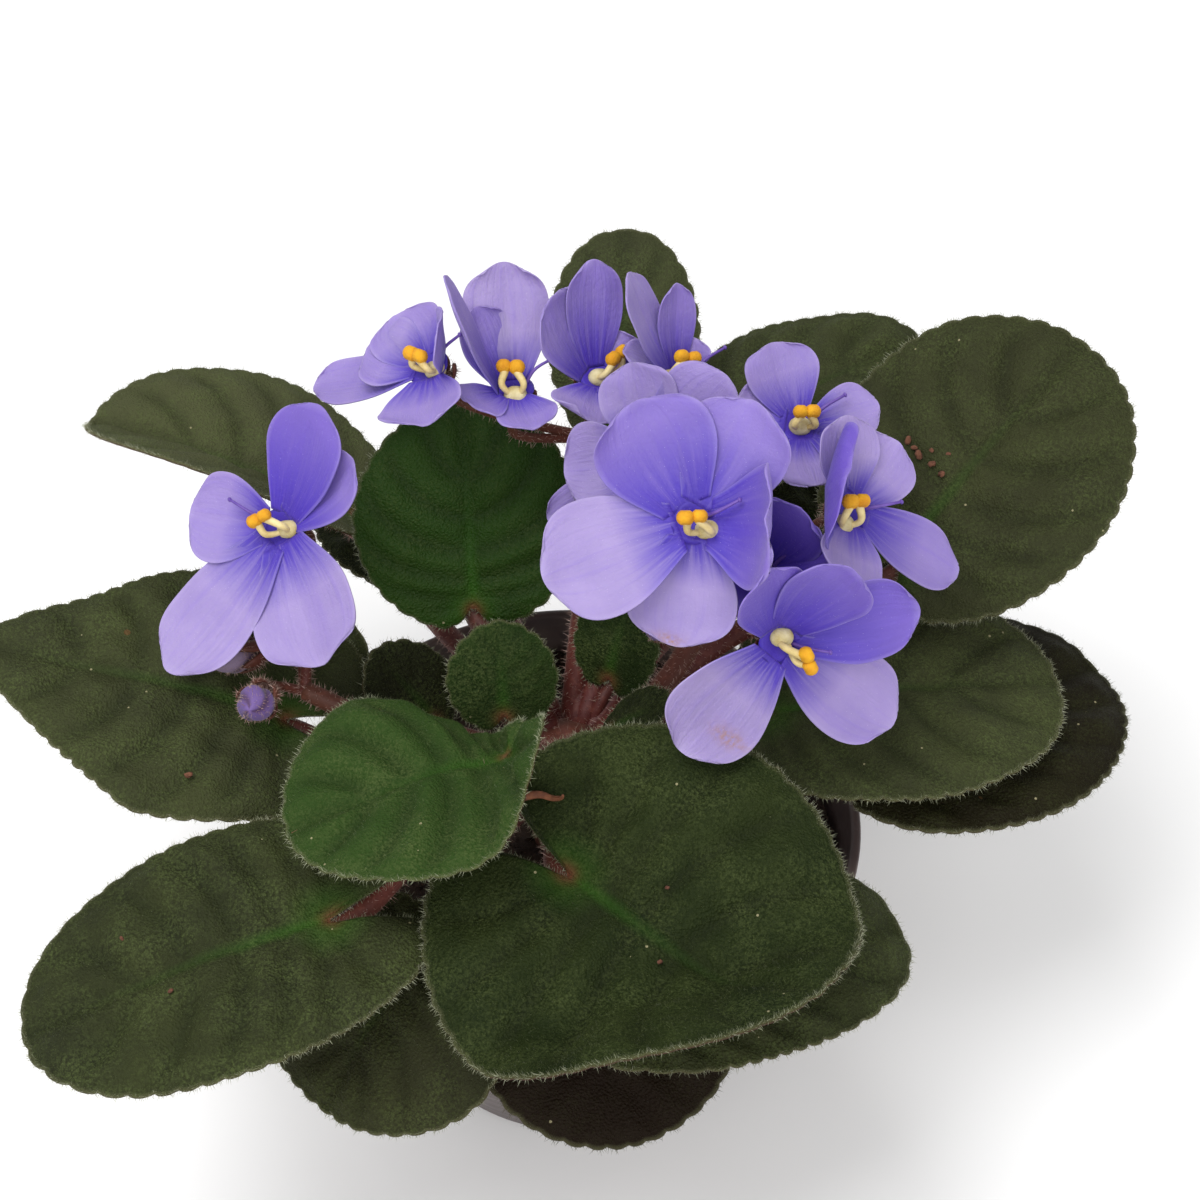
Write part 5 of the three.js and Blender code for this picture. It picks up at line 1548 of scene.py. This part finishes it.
SCRAP = [(-12.5, 6, 1.2), (-10.5, 7.5, 1.5), (-8.5, 8, 1.8), (-6.8, 8.6, 3.2), (-6.4, 8.8, 4.4)]
SCRAP_RADII = (0.75, 0.2)


def on_leaf(name, x, y, up):
    """The world point that stands over a place on a leaf."""
    leaf = next(leaf for leaf in LEAVES if leaf["name"] == name)
    return blade_points(leaf, *np.array([[x], [y], [up]], float))[0]


litter = Shape()
generator = np.random.default_rng(11)
for name, crumb_places in LITTER.items():
    for x, y, radius in crumb_places:
        points, faces = egg(np.array(CRUMB_FORM) * radius, [0, 0, 0], 0.25, 8, 12)
        points += generator.normal(0, 0.1 * radius, points.shape)
        angle = generator.uniform(0, 6.3)
        spin = np.array(Matrix.Rotation(angle, 3, generator.normal(size=3)))
        litter.add(points @ spin.T + on_leaf(name, x, y, LITTER_STAND), faces)
scrap = smooth_path([on_leaf("leaf_front", *place) for place in SCRAP], 16)
points, faces, _ = tube(scrap, np.linspace(*SCRAP_RADII, 16), 8)
litter.add(points, faces, slot=1)
dress(litter.to_object("leaf_litter", [litter_crumb, dried_petal]), "soil")
print("crumbs on the leaves:", sum(len(crumb_places) for crumb_places in LITTER.values()))

# %% [markdown]
# The stage is a plain pale floor and soft light: one wide lamp above to the left, one in front, and a
# pale sky that fills the shadows.
# %% Floor and light
FLOOR_HALF = 4.0
PALE = (0.93, 0.93, 0.93, 1)
SKY_STRENGTH = 0.65
floor_mesh = bpy.data.meshes.new("floor")
corners = [(FLOOR_HALF * x, FLOOR_HALF * y, 0) for x, y in ((-1, -1), (1, -1), (1, 1), (-1, 1))]
floor_mesh.from_pydata(corners, [], [(0, 1, 2, 3)])
floor = bpy.data.objects.new("floor", floor_mesh)
bpy.context.scene.collection.objects.link(floor)
floor_paint = bpy.data.materials.new("floor_paint")
floor_paint.use_nodes = True
give(floor_paint.node_tree, floor_paint.node_tree.nodes["Principled BSDF"], Base_Color=PALE, Roughness=0.9)
floor_mesh.materials.append(floor_paint)


def add_lamp(name, place, aim, size, power):
    data = bpy.data.lights.new(name, "AREA")
    data.size = size
    data.energy = power
    lamp = bpy.data.objects.new(name, data)
    lamp.location = place
    lamp.rotation_euler = (Vector(aim) - Vector(place)).to_track_quat("-Z", "Y").to_euler()
    bpy.context.scene.collection.objects.link(lamp)


PLANT_HEART = (0, 0, 0.08)
add_lamp("key lamp", (-0.3, -0.15, 1.05), PLANT_HEART, 0.6, 7.5)
add_lamp("front lamp", (0.1, -0.95, 0.75), PLANT_HEART, 0.8, 6.5)
world = bpy.data.worlds.new("studio")
bpy.context.scene.world = world
world.use_nodes = True
give(world.node_tree, world.node_tree.nodes["Background"], Color=(1, 1, 1, 1), Strength=SKY_STRENGTH)
bpy.context.scene.view_settings.view_transform = "Standard"
print("lamps:", len(bpy.data.lights))
